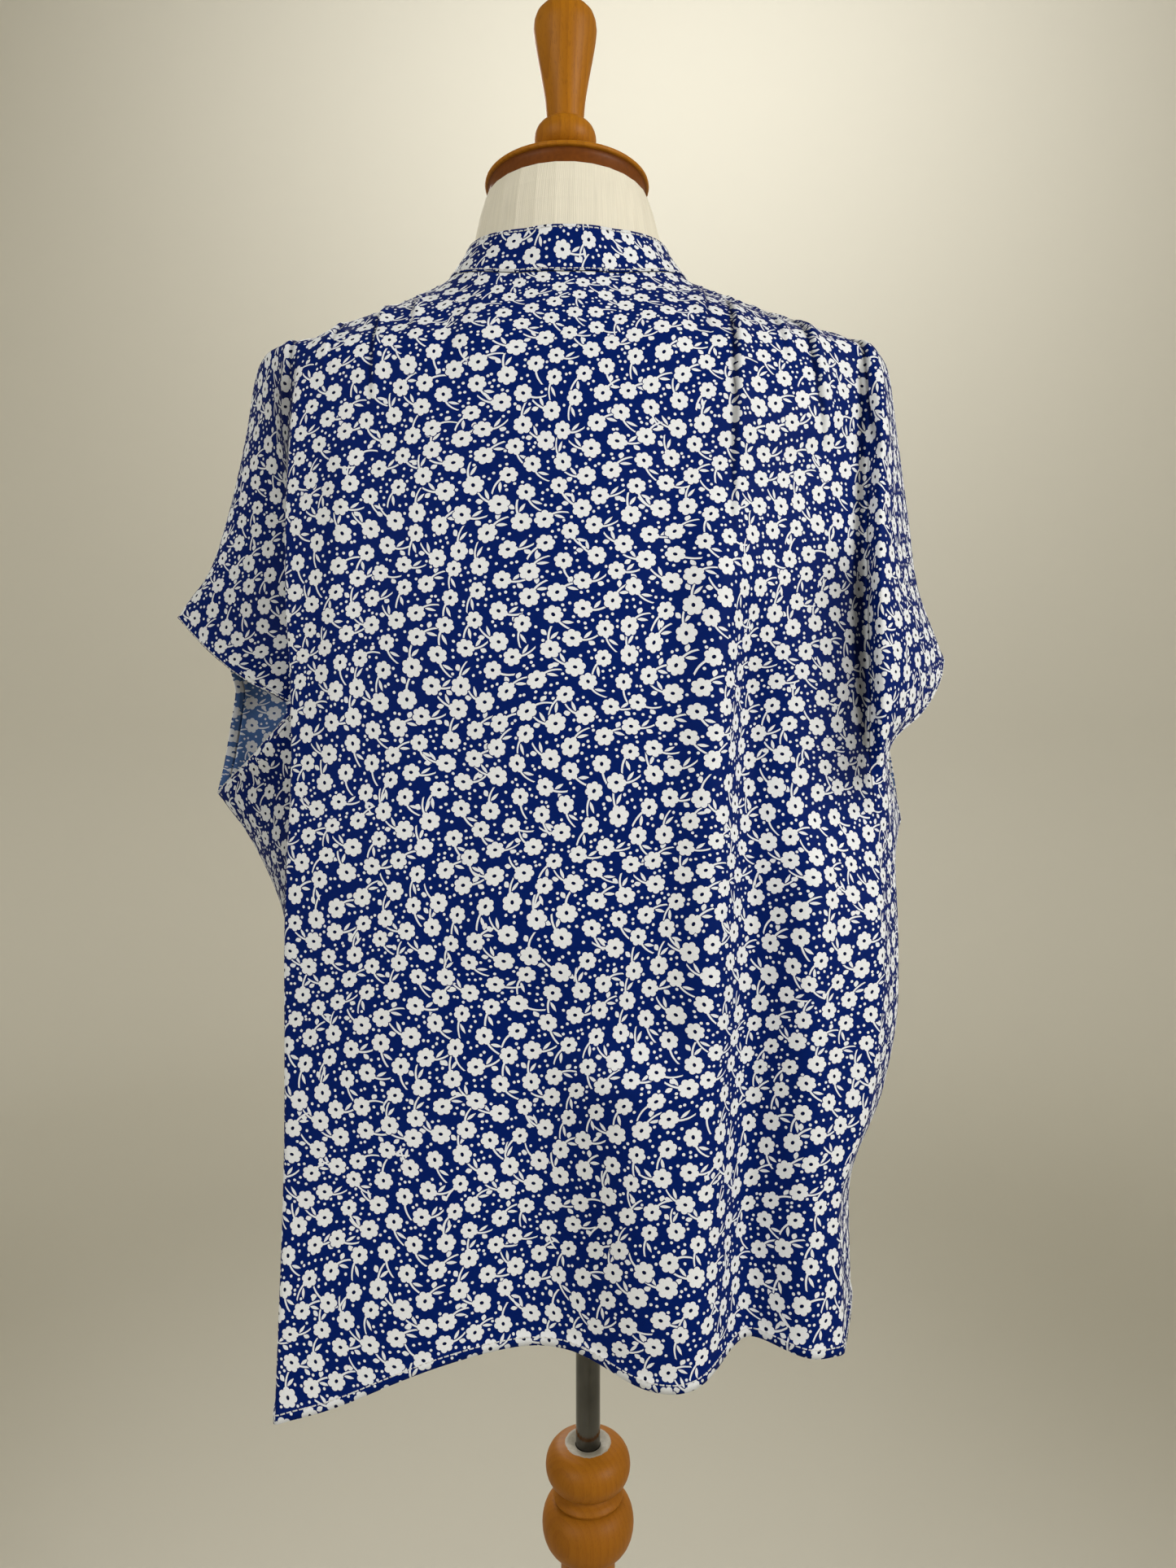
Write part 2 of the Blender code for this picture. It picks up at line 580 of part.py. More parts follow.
def fill_between(mesh, upper, lower):
    """Faces between two rows of vertices; the lower row may have half as many spans."""
    if len(upper) == len(lower):
        for i in range(len(upper) - 1):
            mesh.faces.new((upper[i], upper[i + 1], lower[i + 1], lower[i]))
        return
    for i in range(len(lower) - 1):
        left, middle, right = upper[2 * i:2 * i + 3]
        mesh.faces.new((left, middle, lower[i]))
        mesh.faces.new((middle, lower[i + 1], lower[i]))
        mesh.faces.new((middle, right, lower[i + 1]))


def finished(name, mesh, sharp_degrees=50):
    """Turn a bmesh into a smooth-shaded object with its faces pointing out."""
    bmesh.ops.triangulate(mesh, faces=mesh.faces[:])
    bmesh.ops.recalc_face_normals(mesh, faces=mesh.faces[:])
    data = bpy.data.meshes.new(name)
    mesh.to_mesh(data)
    mesh.free()
    data.shade_smooth()
    data.set_sharp_from_angle(angle=math.radians(sharp_degrees))
    piece = bpy.data.objects.new(name, data)
    bpy.context.scene.collection.objects.link(piece)
    return piece


def material(piece, colour, roughness, metallic=0.0):
    """Give a piece its own Principled BSDF material."""
    finish = bpy.data.materials.new(piece.name)
    finish.use_nodes = True
    shader = finish.node_tree.nodes["Principled BSDF"]
    shader.inputs["Base Color"].default_value = (*colour, 1)
    shader.inputs["Roughness"].default_value = roughness
    shader.inputs["Metallic"].default_value = metallic
    piece.data.materials.append(finish)


def turned(name, profile, sides=TURNED_SIDES, place=(0, 0)):
    """A round piece from a closed outline of (radius, height) points, drawn from top to bottom."""
    mesh = bmesh.new()
    rings = []
    for radius, z in profile:
        count = sides if radius > 0 else 1
        rings.append([
            mesh.verts.new((place[0] + radius * math.cos(math.tau * i / sides),
                            place[1] + radius * math.sin(math.tau * i / sides), z))
            for i in range(count)
        ])
    for upper, lower in zip(rings, rings[1:]):
        for i in range(sides):
            j = (i + 1) % sides
            corners = [upper[i % len(upper)], upper[j % len(upper)]]
            corners += [lower[j % len(lower)], lower[i % len(lower)]]
            mesh.faces.new(list(dict.fromkeys(corners)))
    return finished(name, mesh, 40)


def bulge(radius, foot, z_top, z_bottom, steps=8):
    """Outline points of a turned swelling between two heights, its ends at the foot radius."""
    points = []
    for i in range(steps + 1):
        turn = math.pi * i / steps
        z = (z_top + z_bottom) / 2 + (z_top - z_bottom) / 2 * math.cos(turn)
        points.append((foot + (radius - foot) * math.sin(turn), z))
    return points


def axis_at(z):
    """Sideways place of the leaning form's axis at a height."""
    return (LEAN * (z - POST_TOP), 0)


def half_places(stretches):
    """Column places on both sides of the middle, from (end, count) stretches."""
    side = [0.0]
    for end, count in stretches:
        side += list(np.linspace(side[-1], end, count + 1)[1:])
    side = np.array(side)
    return np.concatenate([-side[:0:-1], side])


def row_knots():
    """Where the section rows lie between the top edge, 0, and the hem, 1."""
    return np.concatenate([[0], (NAPE_Z - middle_heights()) / (NAPE_Z - HEM_Z)])


def row_downs():
    """Where the mesh rows lie: close together on the shoulders, and one at each cuff corner."""
    knots = row_knots()
    downs = list(knots[3] * np.linspace(0, 1, SHOULDER_ROWS + 1) ** SHOULDER_ROW_CROWDING)
    stretches = ((CUFF_TOP + 1, CAP_ROWS), (UNDERARM + 1, CUFF_ROWS), (len(knots) - 1, BODY_ROWS))
    for row, count in stretches:
        downs += list(np.linspace(downs[-1], knots[row], count + 1)[1:])
    return np.array(downs)


def make_back():
    left = back_side_controls(BACK_LEFT, LEFT_FOLD_SOFTNESS, BACK_HEM_LEFT)
    right = back_side_controls(BACK_RIGHT, RIGHT_FOLD_SOFTNESS, BACK_HEM_RIGHT)
    places = half_places(tuple(zip((NECK_PLACE, GATHER_PLACE, 1), BACK_COLUMNS)))
    grid = cloth_surface(back_top, whole_rows(left, right), places, BACK_EASING)
    grid = creased(grid, face_normals(grid, 1), BACK_CREASES, 1)
    grid = gathered(grid, face_normals(grid, 1), places, LEFT_GATHERS, 1)
    grid = gathered(grid, face_normals(grid, 1), places, RIGHT_GATHERS, -1)
    grid[:, 1:-1] = clear_of_form(grid[:, 1:-1], WALL + REST)
    grid[:, [0, -1], 1] += SEAM / 2
    piece = wall_mesh("back", leaned(grid), leaned(inner_face(grid, 1)), SHOULDER_ROWS)
    material(piece, (0.030, 0.090, 0.360), 0.55)


def make_front():
    left = front_side_controls(BACK_LEFT, 0.0, FRONT_HEM_LEFT)
    right = front_side_controls(BACK_RIGHT, RIGHT_CUFF_IN, FRONT_HEM_RIGHT)
    places = half_places(tuple(zip((V_PLACE, FRONT_NECK_PLACE, 1), FRONT_COLUMNS)))
    grid = cloth_surface(front_top, whole_rows(left, right), places, FRONT_EASING)
    grid = creased(grid, face_normals(grid, -1), FRONT_CREASES, -1)
    grid[1:, 1:-1] = clear_of_form(grid[1:, 1:-1], WALL + 2 * REST)
    grid[:, [0, -1], 1] -= SEAM / 2
    piece = wall_mesh("front", leaned(grid), leaned(inner_face(grid, -1)), SHOULDER_ROWS)
    material(piece, (0.032, 0.092, 0.365), 0.55)


def make_yoke(name, side, tip):
    """Strip over the shoulder between the yoke seams of back and front."""
    lengthwise = np.linspace(0, YOKE_LENGTH, YOKE_COLUMNS + 1)
    rows = []
    for share in np.linspace(0, 1, YOKE_ROWS + 1):
        angle = YOKE_BACK_ANGLE + (YOKE_FRONT_ANGLE - YOKE_BACK_ANGLE) * share
        y_end = TIP_Y + YOKE_END * (0.5 - share)
        rows.append(shoulder_line(neckline([angle])[0], tip, y_end, lengthwise))
    grid = np.array(rows)
    grid[0, :, 1] -= SEAM
    grid[-1, :, 1] += SEAM
    inner = grid - form_rise(grid)[0] * WALL
    mirror = np.array([side, 1, 1])
    piece = wall_mesh(name, leaned(grid * mirror), leaned(inner * mirror), len(grid))
    material(piece, (0.034, 0.095, 0.370), 0.55)


def make_collar():
    """Band that stands on the neckline and ends at both sides of the notch."""
    angles = np.linspace(-COLLAR_END_ANGLE, COLLAR_END_ANGLE, COLLAR_COLUMNS + 1)
    foot = neckline(angles) + np.array([0, 0, COLLAR_LIFT])
    heights = np.array(COLLAR_HEIGHTS)
    x, y = neck_oval(angles, COLLAR_TOP_HALF_WIDTH, COLLAR_TOP_BACK, COLLAR_TOP_FRONT)
    top = np.stack([x, y, foot[:, 2] + curve(heights[:, 0], heights[:, 1], abs(angles))], axis=-1)
    shares = np.linspace(0, 1, COLLAR_ROWS + 1)[:, None, None]
    grid = top * (1 - shares) + foot * shares
    grid[:-1] = clear_of_form(grid[:-1], WALL + REST)
    across = np.gradient(grid, axis=1)
    normals = np.cross(across, np.gradient(grid, axis=0))
    normals /= np.linalg.norm(normals, axis=-1)[..., None]
    outward = np.sign((normals[..., :2] * grid[..., :2]).sum(axis=-1))
    normals = normals * outward[..., None]
    normals[-1, :, 2] = 0
    piece = wall_mesh("collar", leaned(grid), leaned(grid - normals * WALL), len(grid))
    material(piece, (0.036, 0.098, 0.375), 0.55)


def make_form():
    """Torso and neck in one smooth solid, closed flat at the bottom and under the neck cap."""
    rings = np.array(FORM_RINGS)
    heights = np.concatenate([np.linspace(*stretch) for stretch in FORM_ROWS])
    sizes = curve(rings[:, 0], rings[:, 1:], heights)
    turns = np.linspace(0, math.tau, FORM_SIDES, endpoint=False)
    mesh = bmesh.new()
    rows = []
    for z, (half_width, back, front, power) in zip(heights, sizes):
        cos, sin = np.cos(turns), np.sin(turns)
        x = half_width * np.sign(cos) * abs(cos) ** (2 / power)
        y = np.where(sin > 0, back, front) * np.sign(sin) * abs(sin) ** (2 / power)
        ring = leaned(np.stack([x, y, np.full_like(x, z)], axis=-1))
        rows.append([mesh.verts.new(point) for point in ring])
    for lower, upper in zip(rows, rows[1:]):
        fill_between(mesh, lower + lower[:1], upper + upper[:1])
    mesh.faces.new(rows[0])
    mesh.faces.new(rows[-1])
    piece = finished("form_torso", mesh, 60)
    material(piece, (0.780, 0.740, 0.650), 0.85)


def make_tape():
    """Woven tape round the form's lower edge."""
    rings = np.array(FORM_RINGS)
    turns = np.linspace(0, math.tau, FORM_SIDES, endpoint=False)
    outlines = []
    for z in (FORM_BOTTOM + TAPE_LIFT, FORM_BOTTOM + TAPE_LIFT + TAPE_HEIGHT):
        half_width, back, front, power = curve(rings[:, 0], rings[:, 1:], z)
        for grow in (PIECE_GAP * 2, PIECE_GAP * 2 + TAPE_WALL):
            cos, sin = np.cos(turns), np.sin(turns)
            x = (half_width + grow) * np.sign(cos) * abs(cos) ** (2 / power)
            y = (np.where(sin > 0, back, front) + grow) * np.sign(sin) * abs(sin) ** (2 / power)
            outlines.append(leaned(np.stack([x, y, np.full_like(x, z)], axis=-1)))
    mesh = bmesh.new()
    rows = [[mesh.verts.new(point) for point in ring] for ring in outlines]
    for first, second in ((0, 1), (1, 3), (3, 2), (2, 0)):
        fill_between(mesh, rows[first] + rows[first][:1], rows[second] + rows[second][:1])
    piece = finished("form_tape", mesh, 60)
    material(piece, (0.420, 0.410, 0.370), 0.80)


def make_neck_cap():
    """Wooden disc on the neck, its rim rounded, with a seat for the finial."""
    bottom = FORM_TOP + PIECE_GAP
    profile = [(0, bottom + CAP_HEIGHT), (CAP_SEAT, bottom + CAP_HEIGHT), (0.0400, bottom + 0.0128)]
    profile += bulge(CAP_RADIUS, 0.0462, bottom + 0.0122, bottom + 0.0010, 5)
    profile += [(0.0450, bottom), (0, bottom)]
    piece = turned("neck_cap", profile, place=axis_at(FORM_TOP))
    material(piece, (0.420, 0.160, 0.035), 0.35)


def make_finial():
    """Turned foot, ball and flared handle above the neck cap."""
    bottom = FORM_TOP + CAP_HEIGHT + 2 * PIECE_GAP
    profile = [(0, FINIAL_TOP), (0.0085, 1.6118), (0.0145, 1.6090), (0.0178, 1.6045)]
    profile += [(FINIAL_RADIUS, 1.5980), (0.0172, 1.5860), (0.0146, 1.5700), (0.0124, 1.5550)]
    profile.append((0.0113, 1.5445))
    profile += bulge(BALL_RADIUS, 0.0122, 1.5425, 1.5225, 7)
    profile += [(0.0122, 1.5190), (0.0150, bottom + 0.0040), (0.0155, bottom), (0, bottom)]
    piece = turned("finial", profile, place=axis_at(1.55))
    material(piece, (0.430, 0.165, 0.036), 0.32)


def make_pole():
    """Steel pole from the post's socket to the form's underside."""
    top = FORM_BOTTOM - PIECE_GAP
    bottom = POST_TOP - SOCKET_DEPTH + PIECE_GAP
    profile = [(0, top), (POLE_RADIUS, top), (POLE_RADIUS, bottom), (0, bottom)]
    piece = turned("pole", profile)
    material(piece, (0.560, 0.560, 0.550), 0.18, 1.0)


def make_post():
    """Turned post: two balls with a bead between, a plain shaft, and beads above the base."""
    bottom = BASE_HEIGHT + PIECE_GAP
    hole = POLE_RADIUS + SOCKET_GAP
    socket = POST_TOP - SOCKET_DEPTH
    profile = [(0, socket), (hole, socket), (hole, POST_TOP), (0.0145, POST_TOP)]
    profile += bulge(UPPER_BALL_RADIUS, 0.0165, 0.6960, 0.6690, 6)
    profile += bulge(COLLAR_BEAD_RADIUS, 0.0200, 0.6665, 0.6605, 3)
    profile += bulge(LOWER_BALL_RADIUS, 0.0190, 0.6600, 0.6270, 6)
    profile += [(0.0180, 0.6220), (0.0175, 0.5900), (0.0205, 0.4200), (0.0215, 0.2900), (0.0200, 0.1500)]
    profile += bulge(SHAFT_BEAD_RADIUS, 0.0200, 0.1450, 0.1150, 5)
    profile += [(0.0225, 0.0850), (0.0330, 0.0480), (POST_FOOT_RADIUS, 0.0350)]
    profile += [(POST_FOOT_RADIUS, bottom), (0, bottom)]
    piece = turned("post", profile)
    material(piece, (0.440, 0.175, 0.040), 0.35)


def make_base():
    """Round wooden foot that stands on the floor."""
    profile = [(0, BASE_HEIGHT), (0.0600, BASE_HEIGHT), (0.1350, BASE_HEIGHT - 0.0030)]
    centre = BASE_RADIUS - BASE_ROUNDING
    for turn in np.linspace(0, math.pi / 2, 6):
        radius = centre + BASE_ROUNDING * math.sin(turn)
        profile.append((radius, BASE_HEIGHT / 4 + BASE_ROUNDING * math.cos(turn)))
    profile += [(BASE_RADIUS, 0.0030), (BASE_RADIUS - 0.0030, 0), (0, 0)]
    piece = turned("base", profile, sides=BASE_SIDES)
    material(piece, (0.440, 0.175, 0.040), 0.35)


def main():
    for piece in list(bpy.data.objects):
        bpy.data.objects.remove(piece)
    make_base()
    make_post()
    make_pole()
    make_form()
    make_tape()
    make_neck_cap()
    make_finial()
    make_back()
    make_front()
    make_yoke("yoke_left", 1, LEFT_TIP)
    make_yoke("yoke_right", -1, RIGHT_TIP)
    make_collar()


main()
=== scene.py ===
# %% [markdown]
# A loose printed blouse hangs on a dress form that has no limbs. The solids of both come from
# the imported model, which is loaded first and never moved. Everything made below is the look of
# that model: thin cloth with its folds, gathers and print, the sewing, and the turned wood.
# Lengths are metres, +Z is up, and the blouse's front faces -Y, so the camera looks along -Y
# from behind the wearer.

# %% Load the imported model
import math
from collections import namedtuple

import bmesh
import bpy
import numpy as np
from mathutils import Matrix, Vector


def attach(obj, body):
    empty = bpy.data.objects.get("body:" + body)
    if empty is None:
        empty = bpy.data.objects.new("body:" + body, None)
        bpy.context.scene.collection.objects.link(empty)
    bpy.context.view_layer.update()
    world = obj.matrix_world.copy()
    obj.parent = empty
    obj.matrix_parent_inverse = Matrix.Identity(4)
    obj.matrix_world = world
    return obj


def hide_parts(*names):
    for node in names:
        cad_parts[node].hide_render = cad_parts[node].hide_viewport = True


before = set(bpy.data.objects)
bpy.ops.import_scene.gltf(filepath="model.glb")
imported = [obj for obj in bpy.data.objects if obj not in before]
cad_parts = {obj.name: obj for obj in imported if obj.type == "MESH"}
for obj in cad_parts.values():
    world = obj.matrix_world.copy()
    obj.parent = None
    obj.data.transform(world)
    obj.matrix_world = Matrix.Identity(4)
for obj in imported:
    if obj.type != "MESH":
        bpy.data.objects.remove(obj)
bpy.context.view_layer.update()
scene = bpy.context.scene
print("CAD nodes:", ", ".join(sorted(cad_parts)))

# %% [markdown]
# The camera stands behind the form, low and close, as a phone held at chest height. A wide lens
# near the object makes the shoulders and the hem spread, so the lens and the distance have to be
# right together before any outline can match.

# %% Camera
PHOTO_HEIGHT_PX = 1927
FOCAL_PX = 1240
CAMERA_PLACE = (0.0, 0.642, 1.156)
CAMERA_PITCH_DEGREES = 2.5
camera_data = bpy.data.cameras.new("camera")
camera_data.lens = FOCAL_PX / PHOTO_HEIGHT_PX * camera_data.sensor_width
camera_data.clip_start = 0.02
camera = bpy.data.objects.new("camera", camera_data)
camera.location = CAMERA_PLACE
camera.rotation_euler = (math.radians(90 - CAMERA_PITCH_DEGREES), 0, math.pi)
scene.collection.objects.link(camera)
scene.camera = camera
print("lens", round(camera_data.lens, 2), "mm on a", camera_data.sensor_width, "mm sensor")

# %% [markdown]
# The studio is a pale floor that curves up into a pale wall all round, so no line shows where the
# two meet, and large soft lights. Two of them stand on the camera's side, left and right of it,
# as windows would: the folds are then lit across and their hollows stay dark. A third lifts the
# front of the blouse. The other four are aimed at the wall alone, one at each side, because a
# pale wall without light of its own looks grey behind white cloth.

# %% Floor and lights
FLOOR_RADIUS = 2.9
WALL_RADIUS = 4.1
WALL_TOP = 5.6
FLOOR_SIDES = 96
COVE_STEPS = 12
PALE_PAINT = (0.66, 0.635, 0.555)
SKY_COLOUR = (0.80, 0.792, 0.765)
SKY_STRENGTH = 0.27
Lamp = namedtuple("Lamp", "name place target size power spread colour")
LAMPS = (
    Lamp("key", (-1.95, 1.35, 1.95), (0, 0, 1.18), 0.8, 6.9, 70, (1.0, 0.99, 0.975)),
    Lamp("fill", (1.5, 1.85, 1.9), (0, 0, 1.18), 1.1, 4.0, 70, (0.97, 0.985, 1.0)),
    Lamp("front", (0.6, -2.4, 2.4), (0, 0, 1.15), 1.4, 13, 80, (1.0, 0.99, 0.97)),
    Lamp("wall_behind", (-0.25, -1.5, 4.7), (-0.25, -4.0, 3.2), 1.6, 68, 130, (1.0, 0.99, 0.965)),
    Lamp("wall_left", (1.6, 0.2, 4.7), (4.0, 0.2, 3.0), 1.6, 28, 125, (1.0, 0.99, 0.965)),
    Lamp("wall_right", (-1.6, 0.2, 4.7), (-4.0, 0.2, 3.0), 1.6, 34, 125, (1.0, 0.99, 0.965)),
    Lamp("wall_before", (0.0, 1.8, 4.7), (0.0, 4.0, 3.0), 1.6, 22, 125, (1.0, 0.99, 0.965)),
)


def plain_material(name, colour, roughness):
    """A simple finish for the studio itself."""
    made = bpy.data.materials.new(name)
    made.use_nodes = True
    shader = made.node_tree.nodes["Principled BSDF"]
    shader.inputs["Base Color"].default_value = (*colour, 1)
    shader.inputs["Roughness"].default_value = roughness
    return made


bpy.ops.object.select_all(action="DESELECT")
bpy.ops.mesh.primitive_circle_add(
    vertices=FLOOR_SIDES, radius=WALL_RADIUS, fill_type="NGON", location=(0, 0, WALL_TOP))
floor = bpy.context.object
floor.name = "floor"
bpy.ops.object.transform_apply(location=True)
bpy.ops.object.mode_set(mode="EDIT")
bpy.ops.mesh.select_all(action="SELECT")
cove = WALL_RADIUS - FLOOR_RADIUS
turns = [math.pi / 2 * i / COVE_STEPS for i in range(COVE_STEPS + 1)]
stops = [(FLOOR_RADIUS + cove * math.cos(t), cove * (1 - math.sin(t))) for t in turns]
radius, height = WALL_RADIUS, WALL_TOP
for next_radius, next_height in stops:
    drop = (0, 0, next_height - height)
    bpy.ops.mesh.extrude_region_move(TRANSFORM_OT_translate={"value": drop})
    bpy.ops.transform.resize(value=(next_radius / radius, next_radius / radius, 1))
    radius, height = next_radius, next_height
bpy.ops.object.mode_set(mode="OBJECT")
bpy.ops.object.shade_smooth()
floor.data.materials.append(plain_material("floor_paint", PALE_PAINT, 0.95))
world = bpy.data.worlds.new("sky")
world.use_nodes = True
world.node_tree.nodes["Background"].inputs["Color"].default_value = (*SKY_COLOUR, 1)
world.node_tree.nodes["Background"].inputs["Strength"].default_value = SKY_STRENGTH
scene.world = world
for lamp in LAMPS:
    light = bpy.data.lights.new(lamp.name, "AREA")
    light.size = lamp.size
    light.energy = lamp.power
    light.spread = math.radians(lamp.spread)
    light.color = lamp.colour
    holder = bpy.data.objects.new(lamp.name, light)
    holder.location = lamp.place
    aim = Vector(lamp.target) - Vector(lamp.place)
    holder.rotation_euler = aim.to_track_quat("-Z", "Y").to_euler()
    scene.collection.objects.link(holder)
scene.view_settings.view_transform = "Standard"
print(len(LAMPS), "soft lights over a pale floor")

# %% [markdown]
# The cloth hangs from the neckline and the two shoulder seams. Its surface is worked out as rows
# of points: each row is a smooth line across the back or the front at one height, from the
# middle to the sleeve's or side's edge. The tables give, for each row, where the panel folds
# back, where the tuck behind that fold lies, and where the edge is. They are the tables that
# shape the solid cloth, so the thin shell lies on its solid; only the right sleeve's first rows
# are drawn in a little more here, because a thin shell can fold more sharply.

# %% Sizes of the blouse and the form
WALL = 0.0016
REST = 0.0018
BACK_EASING = 0.15
FRONT_EASING = 0.34

# Places along a cloth row, 0 at the middle and 1 at the sleeve's or side's edge
NECK_PLACE = 0.2
V_PLACE = 0.16
FRONT_NECK_PLACE = 0.34

# Neckline, an oval round the neck, its heights given by the angle from centre back
NECK_HALF_WIDTH = 0.0725
NECK_BACK = 0.0650
NECK_FRONT = 0.0790
NECK_HEIGHTS = (
    (0, 1.4180), (30, 1.4203), (45, 1.4229), (60, 1.4268), (75, 1.4318), (90, 1.4355),
    (105, 1.4350), (120, 1.4300), (150, 1.4110), (180, 1.4000),
)
YOKE_BACK_ANGLE = 75
YOKE_FRONT_ANGLE = 105
COLLAR_END_ANGLE = 150
COLLAR_HEIGHTS = ((0, 0.0280), (35, 0.0255), (65, 0.0200), (95, 0.0185), (150, 0.0210))
COLLAR_TOP_HALF_WIDTH = 0.0610
COLLAR_TOP_BACK = 0.0600
COLLAR_TOP_FRONT = 0.0680
NOTCH_BOTTOM = (0.0, -0.1170, 1.2900)

# Shoulders: x and z of each tip, and the width of the yoke there
LEFT_TIP = (0.1850, 1.3890)
RIGHT_TIP = (0.1895, 1.3950)
TIP_Y = 0.0060
YOKE_END = 0.0024
YOKE_LENGTH = 0.985

# Heights
HEM_Z = 0.8350
NAPE_Z = 1.4200
FORM_TOP = 1.4865
POST_TOP = 0.6970
LEAN = 0.0165
print("blouse from", HEM_Z, "m at the hem to", NAPE_Z, "m at the nape")

# %% Form sections and centre lines
Ring = namedtuple("Ring", "z half_width back front power")
FORM_RINGS = (
    Ring(0.8300, 0.1500, 0.1000, 0.0880, 2.3),
    Ring(0.8700, 0.1550, 0.1060, 0.0950, 2.4),
    Ring(0.9300, 0.1500, 0.1040, 0.0950, 2.4),
    Ring(1.0000, 0.1300, 0.0900, 0.0880, 2.3),
    Ring(1.0600, 0.1160, 0.0770, 0.0840, 2.2),
    Ring(1.1200, 0.1210, 0.0800, 0.0940, 2.2),
    Ring(1.1900, 0.1360, 0.0910, 0.1140, 2.2),
    Ring(1.2400, 0.1470, 0.0970, 0.1180, 2.2),
    Ring(1.3000, 0.1640, 0.0990, 0.1040, 2.3),
    Ring(1.3450, 0.1770, 0.0940, 0.0820, 2.4),
    Ring(1.3650, 0.1785, 0.0865, 0.0700, 2.4),
    Ring(1.3800, 0.1730, 0.0790, 0.0630, 2.3),
    Ring(1.3890, 0.1630, 0.0745, 0.0585, 2.2),
    Ring(1.3970, 0.1465, 0.0700, 0.0555, 2.2),
    Ring(1.4060, 0.1215, 0.0640, 0.0525, 2.2),
    Ring(1.4170, 0.0950, 0.0595, 0.0500, 2.1),
    Ring(1.4280, 0.0765, 0.0570, 0.0495, 2.1),
    Ring(1.4380, 0.0670, 0.0560, 0.0500, 2.0),
    Ring(1.4500, 0.0605, 0.0550, 0.0505, 2.0),
    Ring(1.4640, 0.0570, 0.0540, 0.0510, 2.0),
    Ring(1.4760, 0.0540, 0.0525, 0.0510, 2.0),
    Ring(1.4865, 0.0505, 0.0505, 0.0505, 2.0),
)

# Centre lines of the hanging cloth, seen from the side
BACK_PROFILE = (
    (0.790, 0.1240), (0.835, 0.1220), (0.930, 0.1195), (1.030, 0.1175), (1.130, 0.1155),
    (1.230, 0.1125), (1.295, 0.1075), (1.345, 0.0990), (1.380, 0.0865), (1.405, 0.0730),
    (1.420, 0.0640),
)
FRONT_PROFILE = (
    (0.790, -0.1380), (0.835, -0.1370), (0.930, -0.1350), (1.050, -0.1370), (1.150, -0.1380),
    (1.230, -0.1320), (1.290, -0.1170), (1.345, -0.1000), (1.380, -0.0880), (1.412, -0.0740),
)
print(len(FORM_RINGS), "sections of the form,", len(BACK_PROFILE), "points down the back")

# %% Sections of the back
# One row for each height: the fold at the panel's side, the tuck behind or beside it, and the
# edge, which is the overarm, then the cuff's hem, then the side seam
Side = namedtuple("Side", "z fold_x fold_y tuck_x tuck_y edge_x edge_y")
BACK_LEFT = (
    Side(1.380, 0.148, 0.060, 0.172, 0.044, 0.1955, 0.003),
    Side(1.345, 0.154, 0.066, 0.170, 0.042, 0.2045, -0.001),
    Side(1.295, 0.159, 0.072, 0.167, 0.032, 0.2190, -0.004),
    Side(1.262, 0.160, 0.075, 0.165, 0.029, 0.2320, -0.005),
    Side(1.234, 0.160, 0.078, 0.164, 0.028, 0.2525, -0.006),
    Side(1.212, 0.159, 0.079, 0.163, 0.028, 0.2275, 0.012),
    Side(1.192, 0.158, 0.080, 0.162, 0.032, 0.1980, 0.030),
    Side(1.176, 0.158, 0.081, 0.161, 0.033, 0.1710, 0.038),
    Side(1.153, 0.158, 0.082, 0.162, 0.032, 0.1920, 0.024),
    Side(1.1215, 0.159, 0.084, 0.164, 0.032, 0.2360, -0.020),
    Side(1.095, 0.160, 0.087, 0.169, 0.040, 0.2170, -0.018),
    Side(1.030, 0.162, 0.092, 0.173, 0.047, 0.1880, -0.012),
    Side(0.950, 0.162, 0.100, 0.172, 0.052, 0.1780, -0.010),
    Side(0.880, 0.163, 0.110, 0.172, 0.058, 0.1740, -0.010),
    Side(0.795, 0.165, 0.124, 0.173, 0.064, 0.1740, -0.010),
)
BACK_RIGHT = (
    Side(1.380, 0.164, 0.050, 0.177, 0.047, 0.1990, 0.003),
    Side(1.345, 0.173, 0.046, 0.178, 0.058, 0.2045, 0.001),
    Side(1.295, 0.172, 0.047, 0.175, 0.066, 0.2120, -0.001),
    Side(1.250, 0.171, 0.050, 0.173, 0.072, 0.2190, -0.003),
    Side(1.207, 0.171, 0.052, 0.173, 0.075, 0.2350, -0.004),
    Side(1.1915, 0.171, 0.054, 0.173, 0.076, 0.2287, 0.005),
    Side(1.172, 0.170, 0.057, 0.173, 0.075, 0.2121, 0.020),
    Side(1.160, 0.169, 0.060, 0.173, 0.073, 0.1936, 0.036),
    Side(1.145, 0.168, 0.064, 0.174, 0.068, 0.1860, 0.040),
    Side(1.104, 0.170, 0.072, 0.182, 0.056, 0.2094, -0.012),
    Side(1.070, 0.170, 0.082, 0.189, 0.048, 0.2010, -0.010),
    Side(1.010, 0.168, 0.090, 0.192, 0.046, 0.1920, -0.008),
    Side(0.950, 0.158, 0.096, 0.182, 0.048, 0.1815, -0.006),
    Side(0.890, 0.139, 0.104, 0.158, 0.058, 0.1655, -0.006),
    Side(0.829, 0.139, 0.114, 0.157, 0.066, 0.1600, -0.006),
)
CUFF_TOP = 4
UNDERARM = 9
LEFT_FOLD_SOFTNESS = 0.16
RIGHT_FOLD_SOFTNESS = 0.45
FOLD_LEAD = 0.16
SLEEVE_SHARE = 0.32
SLEEVE_CROWN = 0.07

